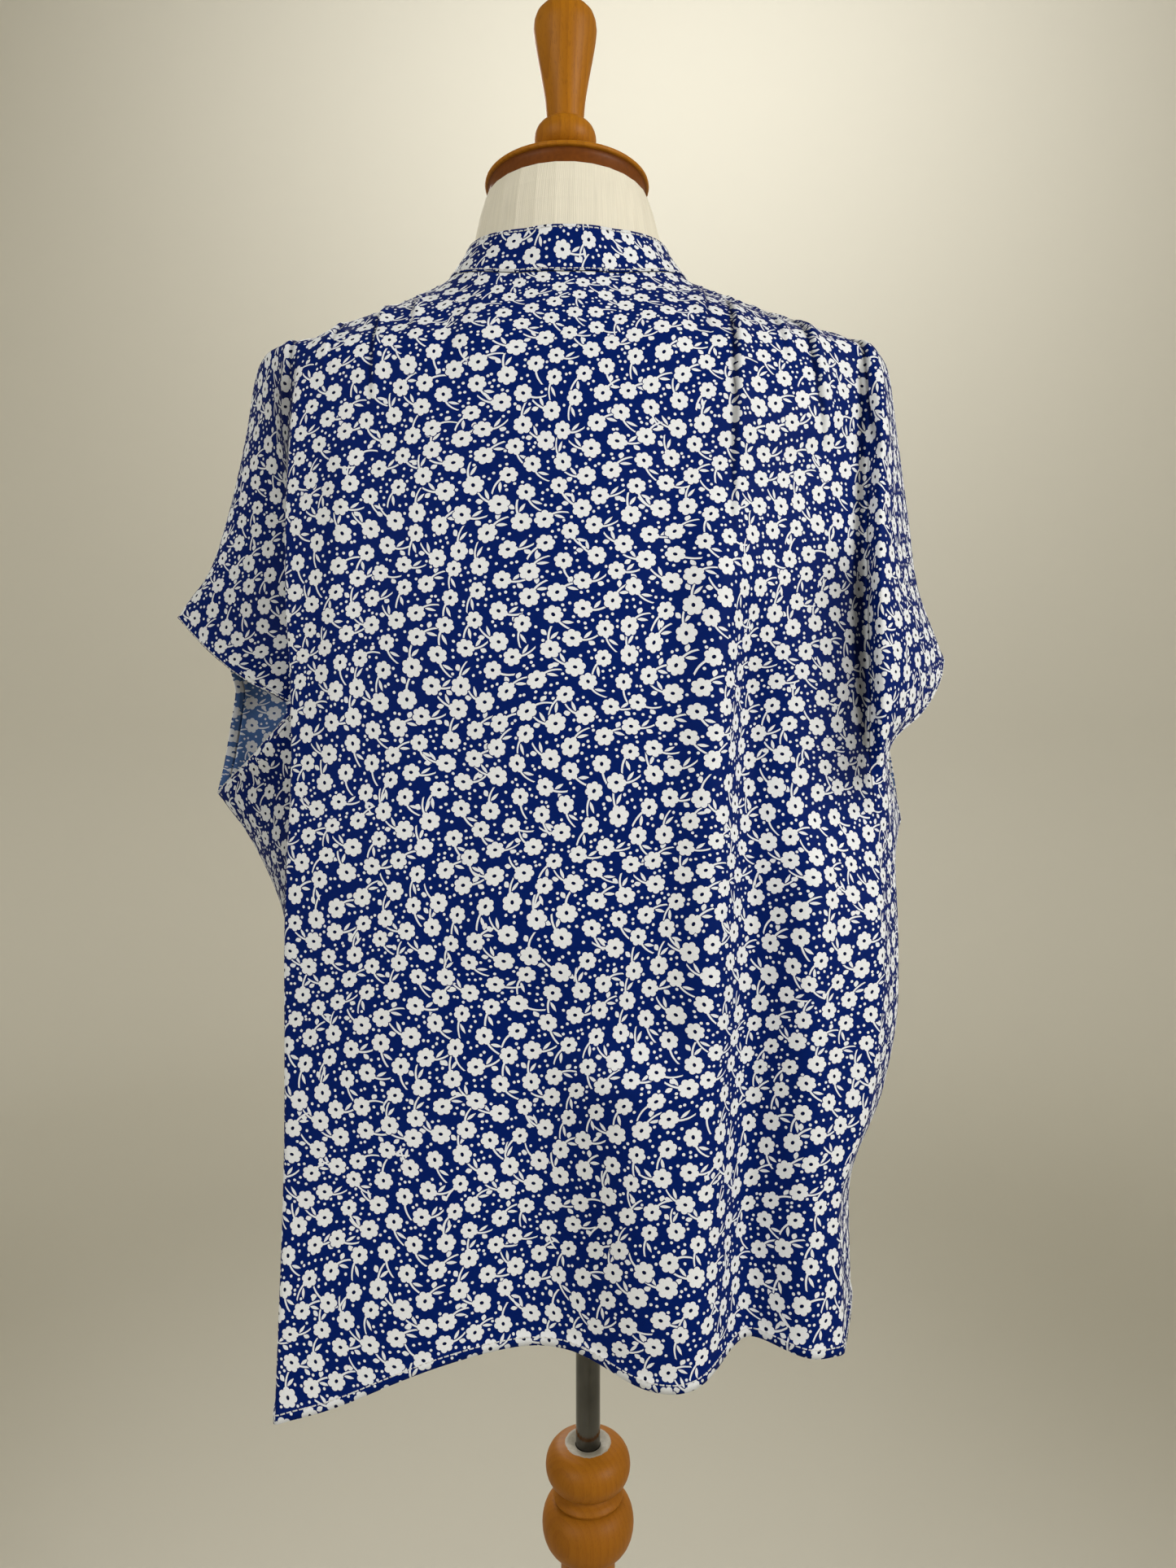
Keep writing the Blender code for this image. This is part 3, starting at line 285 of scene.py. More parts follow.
# Height of the hem at each control point, from the middle out to the side seam
BACK_HEM_LEFT = (0.835, 0.834, 0.827, 0.814, 0.801, 0.796, 0.793, 0.796, 0.802, 0.808, 0.812, 0.815)
BACK_HEM_RIGHT = (0.835, 0.817, 0.823, 0.838, 0.828, 0.827, 0.826, 0.828, 0.830, 0.832, 0.834, 0.835)
FRONT_HEM_LEFT = (0.835, 0.835, 0.835, 0.833, 0.825, 0.817, 0.815)
FRONT_HEM_RIGHT = (0.835,) * 7
print(len(BACK_LEFT), "rows down each side of the back")

# %% Sections of the front
# In the same order of rows: the panel's turn, the middle of the side and the edge, which leaves
# the back's edge only along the cuff
FrontSide = namedtuple("FrontSide", "turn_x turn_y side_x side_y cuff_x cuff_y")
FRONT_SIDES = (
    FrontSide(0.136, -0.056, 0.176, -0.032, None, None),
    FrontSide(0.142, -0.070, 0.186, -0.042, None, None),
    FrontSide(0.146, -0.088, 0.194, -0.052, None, None),
    FrontSide(0.147, -0.096, 0.198, -0.060, None, None),
    FrontSide(0.148, -0.102, 0.202, -0.068, None, None),
    FrontSide(0.148, -0.105, 0.202, -0.074, 0.2350, -0.038),
    FrontSide(0.148, -0.107, 0.200, -0.078, 0.2345, -0.055),
    FrontSide(0.148, -0.108, 0.198, -0.080, 0.2385, -0.061),
    FrontSide(0.149, -0.109, 0.196, -0.080, 0.2405, -0.054),
    FrontSide(0.149, -0.110, 0.192, -0.074, None, None),
    FrontSide(0.150, -0.111, 0.186, -0.070, None, None),
    FrontSide(0.150, -0.113, 0.178, -0.066, None, None),
    FrontSide(0.150, -0.114, 0.174, -0.062, None, None),
    FrontSide(0.149, -0.116, 0.170, -0.060, None, None),
    FrontSide(0.148, -0.118, 0.168, -0.060, None, None),
)
RIGHT_CUFF_IN = 0.0250
print(len(FRONT_SIDES), "rows down each side of the front")

# %% [markdown]
# Cloth never turns at a point, but a straight list of sizes does. Two kinds of smooth curve join
# the table's numbers: one that runs down the cloth through each value and never swings past it,
# and a softer one that runs across and only leans towards its control points.

# %% Smooth curves


def slopes(knots, values):
    """Slopes of a smooth curve through the values, level where they turn."""
    steps = np.diff(knots).reshape((-1,) + (1,) * (values.ndim - 1))
    rises = np.diff(values, axis=0) / steps
    before, after = rises[:-1], rises[1:]
    mean = (steps[1:] * before + steps[:-1] * after) / (steps[1:] + steps[:-1])
    limit = 3 * np.minimum(abs(before), abs(after))
    inner = np.where(before * after > 0, np.clip(mean, -limit, limit), 0)
    return np.concatenate([rises[:1], inner, rises[-1:]])


def curve(knots, values, at):
    """Values of the smooth curve through (knots, values) at each place."""
    knots = np.asarray(knots, float)
    values = np.asarray(values, float)
    slope = slopes(knots, values)
    at = np.clip(np.asarray(at, float), knots[0], knots[-1])
    low = np.clip(np.searchsorted(knots, at, side="right") - 1, 0, len(knots) - 2)
    shape = at.shape + (1,) * (values.ndim - 1)
    step = (knots[low + 1] - knots[low]).reshape(shape)
    t = ((at - knots[low]) / (knots[low + 1] - knots[low])).reshape(shape)
    start = values[low] * (1 + 2 * t) * (1 - t) ** 2 + slope[low] * step * t * (1 - t) ** 2
    end = values[low + 1] * t * t * (3 - 2 * t) + slope[low + 1] * step * t * t * (t - 1)
    return start + end


def cornered_curve(knots, values, at, corners):
    """As curve, but free to turn sharply at the rows named in corners."""
    result = curve(knots, values, at)
    stops = [0, *corners, len(knots) - 1]
    for first, last in zip(stops, stops[1:]):
        inside = (at >= knots[first]) & (at <= knots[last])
        result[inside] = curve(knots[first:last + 1], values[first:last + 1], at[inside])
    return result


def spline_weights(count, at):
    """Weights of count control points at places -1 to 1 along a cubic spline with held ends."""
    knots = np.concatenate([[-1] * 3, np.linspace(-1, 1, count - 2), [1] * 3])
    at = np.clip(at, -1, 1 - 1e-9)
    weights = [((low <= at) & (at < high)).astype(float) for low, high in zip(knots, knots[1:])]
    for degree in (1, 2, 3):
        for i in range(len(weights) - degree):
            total = 0
            if knots[i + degree] > knots[i]:
                total = (at - knots[i]) / (knots[i + degree] - knots[i]) * weights[i]
            if knots[i + degree + 1] > knots[i + 1]:
                rest = knots[i + degree + 1] - at
                total = total + rest / (knots[i + degree + 1] - knots[i + 1]) * weights[i + 1]
            weights[i] = total
    return np.stack(weights[:count], axis=-1)


def spline_places(count):
    """Place of each control point along the same spline."""
    knots = np.concatenate([[-1] * 3, np.linspace(-1, 1, count - 2), [1] * 3])
    return np.array([knots[i + 1:i + 4].mean() for i in range(count)])


print("a curve through 0, 1 and 0 passes", curve([0, 1, 2], [0, 1, 0], [0.5, 1.0, 1.5]).round(3))

# %% [markdown]
# The form's sections are ovals with flattened sides. Cloth that would come too near the form is
# pushed out along the shortest way, so that it rests on the shoulders and hangs free below.

# %% Keep the cloth clear of the form
CLEARING_ROUNDS = 5
NUDGE = 1e-4


def form_reach(points):
    """How far points lie outside the form's oval sections, as a share of the section."""
    rings = np.array(FORM_RINGS)
    half_width, back, front, power = curve(rings[:, 0], rings[:, 1:], points[..., 2]).T
    half_width, back, front, power = half_width.T, back.T, front.T, power.T
    depth = np.where(points[..., 1] > 0, back, front)
    across = (abs(points[..., 0]) / half_width) ** power
    along = (abs(points[..., 1]) / depth) ** power
    return (across + along) ** (1 / power) - 1


def form_rise(points):
    """Direction in which the reach grows fastest, and how fast it grows."""
    rise = [form_reach(points + step) - form_reach(points - step) for step in np.eye(3) * NUDGE]
    rise = np.stack(rise, axis=-1) / (2 * NUDGE)
    steep = np.linalg.norm(rise, axis=-1) + 1e-9
    return rise / steep[..., None], steep


def clear_of_form(points, gap):
    """The points, moved out where they lie nearer than gap to the form."""
    points = np.array(points, float)
    for _ in range(CLEARING_ROUNDS):
        direction, steep = form_rise(points)
        short = np.maximum(gap - form_reach(points) / steep, 0)
        points += direction * short[..., None]
    return points


def leaned(points):
    """The form leans a little on its pole, and carries the cloth with it."""
    points = np.array(points, float)
    points[..., 0] += LEAN * (points[..., 2] - POST_TOP)
    return points


inside_point = np.array([[0.10, 0.05, 1.30]])
print("a point inside the form moves to", clear_of_form(inside_point, WALL + REST).round(4))

# %% [markdown]
# Every panel starts at a seam. The neckline is an oval round the neck that rises over the
# shoulders, and the shoulder seams run from it down to the tips, over the form.

# %% Neckline and shoulder seams
BACK_SEAM_CROWDING = 1.5
FRONT_SEAM_CROWDING = 1.3


def neck_oval(angles, half_width, back, front):
    """Plan of an oval round the neck: x and y at each angle from centre back."""
    turn = np.radians(angles)
    depth = np.where(np.cos(turn) > 0, back, front)
    return half_width * np.sin(turn), depth * np.cos(turn)


def neckline(angles):
    """Points of the seam between collar and blouse at angles from centre back, left positive."""
    angles = np.asarray(angles, float)
    x, y = neck_oval(angles, NECK_HALF_WIDTH, NECK_BACK, NECK_FRONT)
    table = np.array(NECK_HEIGHTS)
    points = np.stack([x, y, curve(table[:, 0], table[:, 1], abs(angles))], axis=-1)
    return clear_of_form(points, WALL + REST)


def shoulder_line(start, tip, y_end, t):
    """Points from the neckline to the shoulder tip, at t from 0 to 1."""
    end = np.array([tip[0], y_end, tip[1]])
    t = np.asarray(t, float)[..., None]
    return clear_of_form(start * (1 - t) + end * t, WALL + REST)


def back_top(places):
    """Upper edge of the back: the neckline, then the yoke seam out to each tip."""
    points = np.zeros(places.shape + (3,))
    for side, tip in ((1, LEFT_TIP), (-1, RIGHT_TIP)):
        reach = places * side
        on_neck = (reach >= 0) & (reach <= NECK_PLACE)
        points[on_neck] = neckline(YOKE_BACK_ANGLE * places[on_neck] / NECK_PLACE)
        on_seam = reach > NECK_PLACE
        start = neckline([YOKE_BACK_ANGLE])[0]
        t = 1 - (1 - (reach[on_seam] - NECK_PLACE) / (1 - NECK_PLACE)) ** BACK_SEAM_CROWDING
        seam = shoulder_line(start, tip, TIP_Y + YOKE_END / 2, t)
        seam[:, 0] *= side
        points[on_seam] = seam
    return points


def front_top(places):
    """Upper edge of the front: the notch, the neckline, then the yoke seam out to each tip."""
    points = np.zeros(places.shape + (3,))
    corner = neckline([COLLAR_END_ANGLE])[0]
    for side, tip in ((1, LEFT_TIP), (-1, RIGHT_TIP)):
        reach = places * side
        mirror = np.array([side, 1, 1])
        on_notch = (reach >= 0) & (reach <= V_PLACE)
        t = (reach[on_notch] / V_PLACE)[:, None]
        points[on_notch] = (np.array(NOTCH_BOTTOM) * (1 - t) + corner * t) * mirror
        on_neck = (reach > V_PLACE) & (reach <= FRONT_NECK_PLACE)
        t = (reach[on_neck] - V_PLACE) / (FRONT_NECK_PLACE - V_PLACE)
        angles = COLLAR_END_ANGLE + (YOKE_FRONT_ANGLE - COLLAR_END_ANGLE) * t
        points[on_neck] = neckline(angles) * mirror
        on_seam = reach > FRONT_NECK_PLACE
        start = neckline([YOKE_FRONT_ANGLE])[0]
        t = ((reach[on_seam] - FRONT_NECK_PLACE) / (1 - FRONT_NECK_PLACE)) ** FRONT_SEAM_CROWDING
        points[on_seam] = shoulder_line(start, tip, TIP_Y - YOKE_END / 2, t) * mirror
    return points


neck_round = neckline(np.linspace(-180, 180, 181))
neck_length = np.linalg.norm(np.diff(neck_round, axis=0), axis=-1).sum()
print("neck seam", round(1000 * neck_length), "mm round")

# %% [markdown]
# Now the rows: for each height the control points run from the middle of the panel out to its
# edge. The last rows are the hem, whose height changes from point to point, because the cloth
# dips at the wearer's left corner.

# %% Rows of control points
# How far out each control point of a panel lies, as a share of the way to its fold, and how
# long the panel stays flat before it turns back
BACK_SHARES = (0.0, 0.22, 0.44, 0.64, 0.82)
BACK_SQUARENESS = 2.4
FRONT_SHARES = (0.0, 0.33, 0.68)
FRONT_LOWERED = (1.0, 0.75, 0.35)
FRONT_SQUARENESS = 2.2
# The nose is the point that leads the cloth into its outer edge
NOSE_X = -0.10
NOSE_Y = 0.35
NOSE_SPAN = 0.030


def middle_heights():
    """Height of each section row at the middle, between its heights at both sides."""
    heights = np.array([(left.z + right.z) / 2 for left, right in zip(BACK_LEFT, BACK_RIGHT)])
    heights[-1] = HEM_Z
    return heights


def row_knots():
    """Where the section rows lie between the top edge, 0, and the hem, 1."""
    return np.concatenate([[0], (NAPE_Z - middle_heights()) / (NAPE_Z - HEM_Z)])


def back_side_controls(rows, softness, hem):
    """Control points from the middle to one side, for each row below the top edge."""
    profile = np.array(BACK_PROFILE)
    controls = []
    for row, centre_z in zip(rows, middle_heights()):
        centre_y = curve(profile[:, 0], profile[:, 1], [centre_z])[0]
        fold = np.array([row.fold_x, row.fold_y, row.z])
        tuck = np.array([row.tuck_x, row.tuck_y, row.z])
        edge = np.array([row.edge_x, row.edge_y, row.z])
        panel = []
        for share in BACK_SHARES:
            y = centre_y + (row.fold_y - centre_y) * share ** BACK_SQUARENESS
            z = centre_z + (row.z - centre_z) * share
            panel.append(np.array([row.fold_x * share, y, z]))
        before = fold + (panel[-1] - fold) * FOLD_LEAD
        after = fold + (tuck - fold) * softness
        span = np.linalg.norm(edge - tuck)
        nose = edge + np.array([NOSE_X, NOSE_Y, 0]) * min(span, NOSE_SPAN)
        middle = tuck + (nose - tuck) * SLEEVE_SHARE + np.array([0, SLEEVE_CROWN * span, 0])
        controls.append(panel + [before, fold, after, tuck, middle, nose, edge])
    controls = np.array(controls)
    controls[-1, :, 2] = hem
    return controls


def front_side_controls(rows, cuff_in, hem):
    """Control points from the middle to one side, for each row below the top edge."""
    profile = np.array(FRONT_PROFILE)
    squeeze = (NOTCH_BOTTOM[2] - HEM_Z) / (NAPE_Z - HEM_Z)
    controls = []
    for row, side, centre_z in zip(rows, FRONT_SIDES, middle_heights()):
        edge = np.array([row.edge_x, row.edge_y, row.z])
        if side.cuff_x is not None:
            edge = np.array([side.cuff_x - cuff_in, side.cuff_y, row.z])
        points = []
        for share, drop in zip(FRONT_SHARES, FRONT_LOWERED):
            level = centre_z + (row.z - centre_z) * share
            level += drop * (HEM_Z + (level - HEM_Z) * squeeze - level)
            centre_y = curve(profile[:, 0], profile[:, 1], [level])[0]
            y = centre_y + (side.turn_y - centre_y) * share ** FRONT_SQUARENESS
            points.append(np.array([side.turn_x * share, y, level]))
        span = np.linalg.norm(edge[:2] - (side.side_x, side.side_y))
        nose = edge + np.array([NOSE_X, -NOSE_Y, 0]) * min(span, NOSE_SPAN)
        turn = np.array([side.turn_x, side.turn_y, row.z])
        middle = np.array([side.side_x, side.side_y, row.z])
        controls.append(points + [turn, middle, nose, edge])
    controls = np.array(controls)
    controls[-1, :, 2] = hem
    return controls


def whole_rows(left, right):
    """Join the controls of both sides into rows that run from right to left."""
    mirrored = right[:, :0:-1] * np.array([-1, 1, 1])
    joined = np.concatenate([mirrored, left], axis=1)
    joined[:, right.shape[1] - 1] = (left[:, 0] + right[:, 0]) / 2
    return joined


print("the first row lies at", round(row_knots()[1], 3), "of the way down, the hem at", row_knots()[-1])

# %% [markdown]
# Big folds come from the rows, and smaller ones are laid over them here. A crease is a straight
# line on the panel with a depth and a width: above zero it is a ridge, below zero a trough.
# A pleat rises slowly to one sharp edge and drops at once beyond it. Gathers are short ridges
# under the shoulder seams, sharp at the seam and gone a few centimetres lower. All are listed
# one by one and uneven, because cloth that is gathered by hand is uneven.

# %% Creases and gathers
Crease = namedtuple("Crease", "top_x top_z low_x low_z depth width")
BACK_CREASES = (
    Crease(-0.122, 1.418, -0.128, 1.376, -0.0014, 0.0034),
    Crease(-0.082, 1.426, -0.080, 1.385, -0.0012, 0.0032),
    Crease(0.106, 1.424, 0.106, 1.345, -0.0020, 0.0040),
    Crease(0.090, 1.426, 0.091, 1.380, -0.0012, 0.0034),
    Crease(0.128, 1.416, 0.129, 1.370, -0.0013, 0.0036),
    Crease(0.146, 1.408, 0.150, 1.356, -0.0015, 0.0038),
    Crease(-0.080, 1.300, -0.058, 0.800, 0.0090, 0.0170),
    Crease(-0.102, 1.240, -0.088, 0.800, -0.0120, 0.0160),
    Crease(-0.030, 1.000, -0.040, 0.780, 0.0140, 0.0300),
    Crease(0.030, 1.050, 0.030, 0.780, -0.0050, 0.0300),
    Crease(-0.128, 1.120, -0.120, 0.800, 0.0060, 0.0140),
    Crease(0.120, 1.330, 0.136, 1.090, 0.0022, 0.0110),
    Crease(0.060, 1.180, 0.084, 0.900, -0.0020, 0.0160),
    Crease(-0.055, 1.330, -0.050, 1.120, -0.0018, 0.0130),
)
Pleat = namedtuple("Pleat", "top_x top_z low_x low_z rise reach side")
BACK_PLEATS = (
    Pleat(-0.0940, 1.420, -0.0875, 1.262, 0.0040, 0.0080, 1),
    Pleat(-0.1330, 1.412, -0.1450, 1.318, 0.0038, 0.0075, 1),
    Pleat(-0.1690, 1.402, -0.1780, 1.318, 0.0034, 0.0080, 1),
    Pleat(-0.1180, 1.418, -0.1230, 1.366, 0.0022, 0.0050, 1),
    Pleat(-0.0790, 1.424, -0.0765, 1.372, 0.0020, 0.0048, -1),
    Pleat(0.1580, 1.398, 0.1640, 1.318, 0.0028, 0.0080, -1),
    Pleat(0.1060, 1.424, 0.1065, 1.335, 0.0026, 0.0060, 1),
    Pleat(0.1310, 1.416, 0.1340, 1.356, 0.0022, 0.0052, -1),
    Pleat(0.0860, 1.426, 0.0860, 1.378, 0.0018, 0.0046, 1),
)
FRONT_CREASES = (
    Crease(-0.070, 1.250, -0.085, 0.800, 0.0080, 0.0200),
    Crease(-0.040, 1.150, -0.045, 0.800, -0.0070, 0.0200),
    Crease(0.085, 1.260, 0.100, 0.800, 0.0070, 0.0180),
    Crease(0.050, 1.150, 0.055, 0.800, -0.0080, 0.0220),
    Crease(0.010, 1.200, 0.012, 0.800, 0.0060, 0.0200),
    Crease(-0.120, 1.395, -0.112, 1.300, 0.0022, 0.0070),
    Crease(-0.100, 1.400, -0.094, 1.320, -0.0018, 0.0060),
    Crease(0.104, 1.398, 0.098, 1.296, 0.0022, 0.0075),
    Crease(0.126, 1.392, 0.120, 1.330, -0.0016, 0.0060),
)
Gather = namedtuple("Gather", "place height length width")
LEFT_GATHERS = (
    Gather(0.06, 0.0019, 0.030, 0.0022), Gather(0.12, 0.0012, 0.018, 0.0017),
    Gather(0.17, 0.0023, 0.045, 0.0026), Gather(0.24, 0.0012, 0.020, 0.0017),
    Gather(0.30, 0.0017, 0.026, 0.0022), Gather(0.40, 0.0022, 0.034, 0.0024),
    Gather(0.46, 0.0012, 0.018, 0.0017), Gather(0.52, 0.0020, 0.030, 0.0022),
    Gather(0.65, 0.0019, 0.024, 0.0024), Gather(0.78, 0.0023, 0.036, 0.0026),
)
RIGHT_GATHERS = (
    Gather(0.07, 0.0020, 0.032, 0.0022), Gather(0.14, 0.0013, 0.018, 0.0017),
    Gather(0.21, 0.0025, 0.040, 0.0026), Gather(0.27, 0.0013, 0.018, 0.0017),
    Gather(0.33, 0.0017, 0.024, 0.0022), Gather(0.44, 0.0022, 0.036, 0.0024),
    Gather(0.50, 0.0013, 0.020, 0.0017), Gather(0.56, 0.0019, 0.030, 0.0022),
    Gather(0.69, 0.0023, 0.042, 0.0026), Gather(0.82, 0.0019, 0.026, 0.0024),
)
PLEAT_EDGE = 0.0006
PLEAT_START = 0.22
CREASE_START = 0.12
CREASE_TURN = 0.5
GATHER_SHARE = 0.75
print(len(BACK_CREASES), "creases,", len(BACK_PLEATS), "pleats and",
      len(LEFT_GATHERS) + len(RIGHT_GATHERS), "gathers behind")

# %% Lay creases and gathers on a grid of points


def face_normals(grid, outward_y):
    """Unit normals of a grid of points, on the side that faces outward_y."""
    across = np.gradient(grid, axis=1)
    down = np.gradient(grid, axis=0)
    normals = np.cross(across, down)
    normals /= np.linalg.norm(normals, axis=-1)[..., None] + 1e-12
    middle = normals[len(grid) // 2, grid.shape[1] // 2]
    return normals if middle[1] * outward_y > 0 else -normals


def creased(grid, normals, creases, outward_y):
    """The grid, raised along ridges and sunk along troughs."""
    height = np.zeros(grid.shape[:2])
    facing = np.clip(normals[..., 1] * outward_y / CREASE_TURN, 0, 1)
    for crease in creases:
        run = np.clip((crease.top_z - grid[..., 2]) / (crease.top_z - crease.low_z), 0, 1)
        x = crease.top_x + (crease.low_x - crease.top_x) * run
        across = np.exp(-((grid[..., 0] - x) / crease.width) ** 2)
        fade = 1.0 if crease.low_z < HEM_Z else 1 - run ** 2
        height += crease.depth * across * np.clip(run / CREASE_START, 0, 1) * fade
    return grid + normals * (height * facing)[..., None]


def pleated(grid, normals, pleats):
    """The grid with sharp pleats: each rises slowly to its edge and drops at once beyond it."""
    height = np.zeros(grid.shape[:2])
    for pleat in pleats:
        run = np.clip((pleat.top_z - grid[..., 2]) / (pleat.top_z - pleat.low_z), 0, 1)
        x = pleat.top_x + (pleat.low_x - pleat.top_x) * run
        past = (grid[..., 0] - x) * pleat.side
        edge = (1 - np.tanh(past / PLEAT_EDGE)) / 2
        slope = np.exp(-(past / pleat.reach) ** 2)
        height += pleat.rise * edge * slope * np.clip(run / PLEAT_START, 0, 1) * (1 - run ** 3)
    facing = np.clip(normals[..., 1] / CREASE_TURN, 0, 1)
    return grid + normals * (height * facing)[..., None]


def gathered(grid, normals, places, gathers, side):
    """Small ridges that run down from a yoke seam and die away."""
    seam = (places * side - NECK_PLACE) / (1 - NECK_PLACE)
    along = 1 - (1 - np.clip(seam, 0, 1)) ** BACK_SEAM_CROWDING
    length = np.linalg.norm(grid[0, -1] - grid[0, grid.shape[1] // 2])
    below = np.cumsum(np.linalg.norm(np.diff(grid, axis=0, prepend=grid[:1]), axis=-1), axis=0)
    height = np.zeros(grid.shape[:2])
    for gather in gathers:
        across = np.exp(-((along - gather.place) * length / gather.width) ** 2)
        run = np.clip(below / gather.length, 0, 1)
        height += GATHER_SHARE * gather.height * across[None] * np.sin(math.pi * np.sqrt(run))
    height[:, seam <= 0] = 0
    return grid + normals * height[..., None]


deepest = max(BACK_CREASES, key=lambda crease: abs(crease.depth))
print("the deepest crease is", round(1000 * abs(deepest.depth), 1), "mm at x =", deepest.low_x)

# %% [markdown]
# Each panel is a grid of points from its top seam to its hem. The rows lie closer together on
# the shoulders and at the cuffs, where the cloth turns most. The last three rows of the hem and
# of the cuffs are moved to even distances from the edge and raised, as doubled cloth is.

# %% Panels as grids
FINE_SHOULDER_ROWS = 46
SHOULDER_ROW_CROWDING = 1.25
SHOULDER_KNOT = 3
FINE_STRETCHES = ((CUFF_TOP + 1, 14), (UNDERARM + 1, 34), (len(BACK_LEFT), 52))
FINE_BACK_COLUMNS = ((NECK_PLACE, 14), (0.50, 68), (0.70, 22), (0.86, 24), (1, 16))
FINE_FRONT_COLUMNS = ((V_PLACE, 8), (FRONT_NECK_PLACE, 22), (1, 66))
HEM_STEPS = (0.0090, 0.0056, 0.0049, 0.0)
HEM_RISE = 0.0006


def fine_downs():
    """Places of the mesh rows between the top edge, 0, and the hem, 1."""
    knots = row_knots()
    crowded = np.linspace(0, 1, FINE_SHOULDER_ROWS + 1) ** SHOULDER_ROW_CROWDING
    downs = list(knots[SHOULDER_KNOT] * crowded)
    for row, count in FINE_STRETCHES:
        downs += list(np.linspace(downs[-1], knots[row], count + 1)[1:])
    return np.array(downs)


def cloth_surface(top, controls, places, easing):
    """Outer face of a panel: a grid of points, rows from the top edge to the hem.

    The exact top edge eases into the smooth surface over the share of the height in easing.
    """
    knots, downs = row_knots(), fine_downs()
    count = controls.shape[1]
    first = top(spline_places(count))[None]
    net = np.concatenate([first, controls])
    lines = np.stack([curve(knots, net[:, k], downs) for k in range(count)], axis=1)
    corners = (CUFF_TOP + 1, UNDERARM + 1)
    for k in (0, -1):
        lines[:, k] = cornered_curve(knots, net[:, k], downs, corners)
    surface = np.einsum("pk,rkc->rpc", spline_weights(count, places), lines)
    ease = np.clip(1 - downs / easing, 0, 1)[:, None, None]
    return surface + (top(places) - surface[0])[None] * ease * ease * (3 - 2 * ease)


def half_places(stretches):
    """Column places on both sides of the middle, from (end, count) stretches."""
    side = [0.0]
    for end, count in stretches:
        side += list(np.linspace(side[-1], end, count + 1)[1:])
    side = np.array(side)
    return np.concatenate([-side[:0:-1], side])


def edge_band(grid):
    """The grid with its last rows moved to even distances from its lower edge."""
    up = grid[::-1]
    gone = np.cumsum(np.linalg.norm(np.diff(up, axis=0, prepend=up[:1]), axis=-1), axis=0)
    band = np.zeros((len(HEM_STEPS),) + grid.shape[1:])
    for column in range(grid.shape[1]):
        for axis in range(3):
            band[:, column, axis] = np.interp(HEM_STEPS, gone[:, column], up[:, column, axis])
    return np.concatenate([grid[:-len(HEM_STEPS)], band])


def hemmed(grid, outward_y):
    """The grid with a turned hem along the bottom and along both cuffs."""
    grid = edge_band(grid)
    for _ in range(2):
        grid = np.swapaxes(edge_band(np.swapaxes(grid, 0, 1)), 0, 1)[:, ::-1]
    doubled = np.zeros(grid.shape[:2])
    doubled[-len(HEM_STEPS) + 2:] = 1
    for columns in (slice(0, len(HEM_STEPS) - 2), slice(-len(HEM_STEPS) + 2, None)):
        doubled[cuff_span(), columns] = 1
    return grid + face_normals(grid, outward_y) * (doubled * HEM_RISE)[..., None]


def cuff_span():
    """The mesh rows that end at a cuff."""
    knots, downs = row_knots(), fine_downs()
    rows = np.nonzero((downs >= knots[CUFF_TOP + 1]) & (downs <= knots[UNDERARM + 1]))[0]
    return slice(rows[0], rows[-1] + 1)


print(len(fine_downs()), "rows of points down each panel, the cuffs at rows", cuff_span())

# %% [markdown]
# A real fold closes on itself, so little light reaches its bottom. The grid stays open there, and
# the points get a number from 0 to 1 instead, a painted shade, which later darkens the finish's
# colour. It follows the edge of each pleat, and the long folds between the panel and the sleeves.

# %% Shade in the folds
PLEAT_FULL_SHADE = 0.0046
PLEAT_SHADE_START = 0.05
SHADE_REACH = 0.0011
SHADE_FADE = 0.030
DARKEST = 0.9
# painted shade: each row darkens the colour along one long fold beside a sleeve
# place is along the row, right and left are the widths on both sides of it
FoldShade = namedtuple("FoldShade", "place right left top_z low_z shade")
FOLD_SHADES = (
    FoldShade(0.700, 0.022, 0.170, 1.385, 1.120, 0.60),
    FoldShade(0.720, 0.060, 0.260, 1.165, 1.020, 0.50),
    FoldShade(-0.520, 0.100, 0.115, 1.275, 1.110, 0.66),
    FoldShade(-0.625, 0.012, 0.010, 1.330, 1.100, 0.80),
)


def back_shade(grid, places):
    """How dark the cloth lies in its deepest folds, from 0 to 1, at each grid point."""
    shade = np.zeros(grid.shape[:2])
    for pleat in BACK_PLEATS:
        run = np.clip((pleat.top_z - grid[..., 2]) / (pleat.top_z - pleat.low_z), 0, 1)
        past = (grid[..., 0] - pleat.top_x - (pleat.low_x - pleat.top_x) * run) * pleat.side
        line = np.exp(-((past - SHADE_REACH) / SHADE_REACH) ** 2) * (1 - run ** 4)
        line *= np.clip(run / PLEAT_SHADE_START, 0, 1) * pleat.rise / PLEAT_FULL_SHADE
        shade = np.maximum(shade, line)
    for fold in FOLD_SHADES:
        past = places - fold.place
        across = np.exp(-(past / np.where(past > 0, fold.left, fold.right)) ** 2)
        rise = (grid[..., 2] - fold.low_z) / SHADE_FADE
        fall = (fold.top_z - grid[..., 2]) / SHADE_FADE
        shade = np.maximum(shade, fold.shade * across * np.clip(np.minimum(rise, fall), 0, 1))
    return np.clip(shade, 0, DARKEST)


print(len(FOLD_SHADES), "shaded folds and", len(BACK_PLEATS), "shaded pleats")

# %% Back and front grids


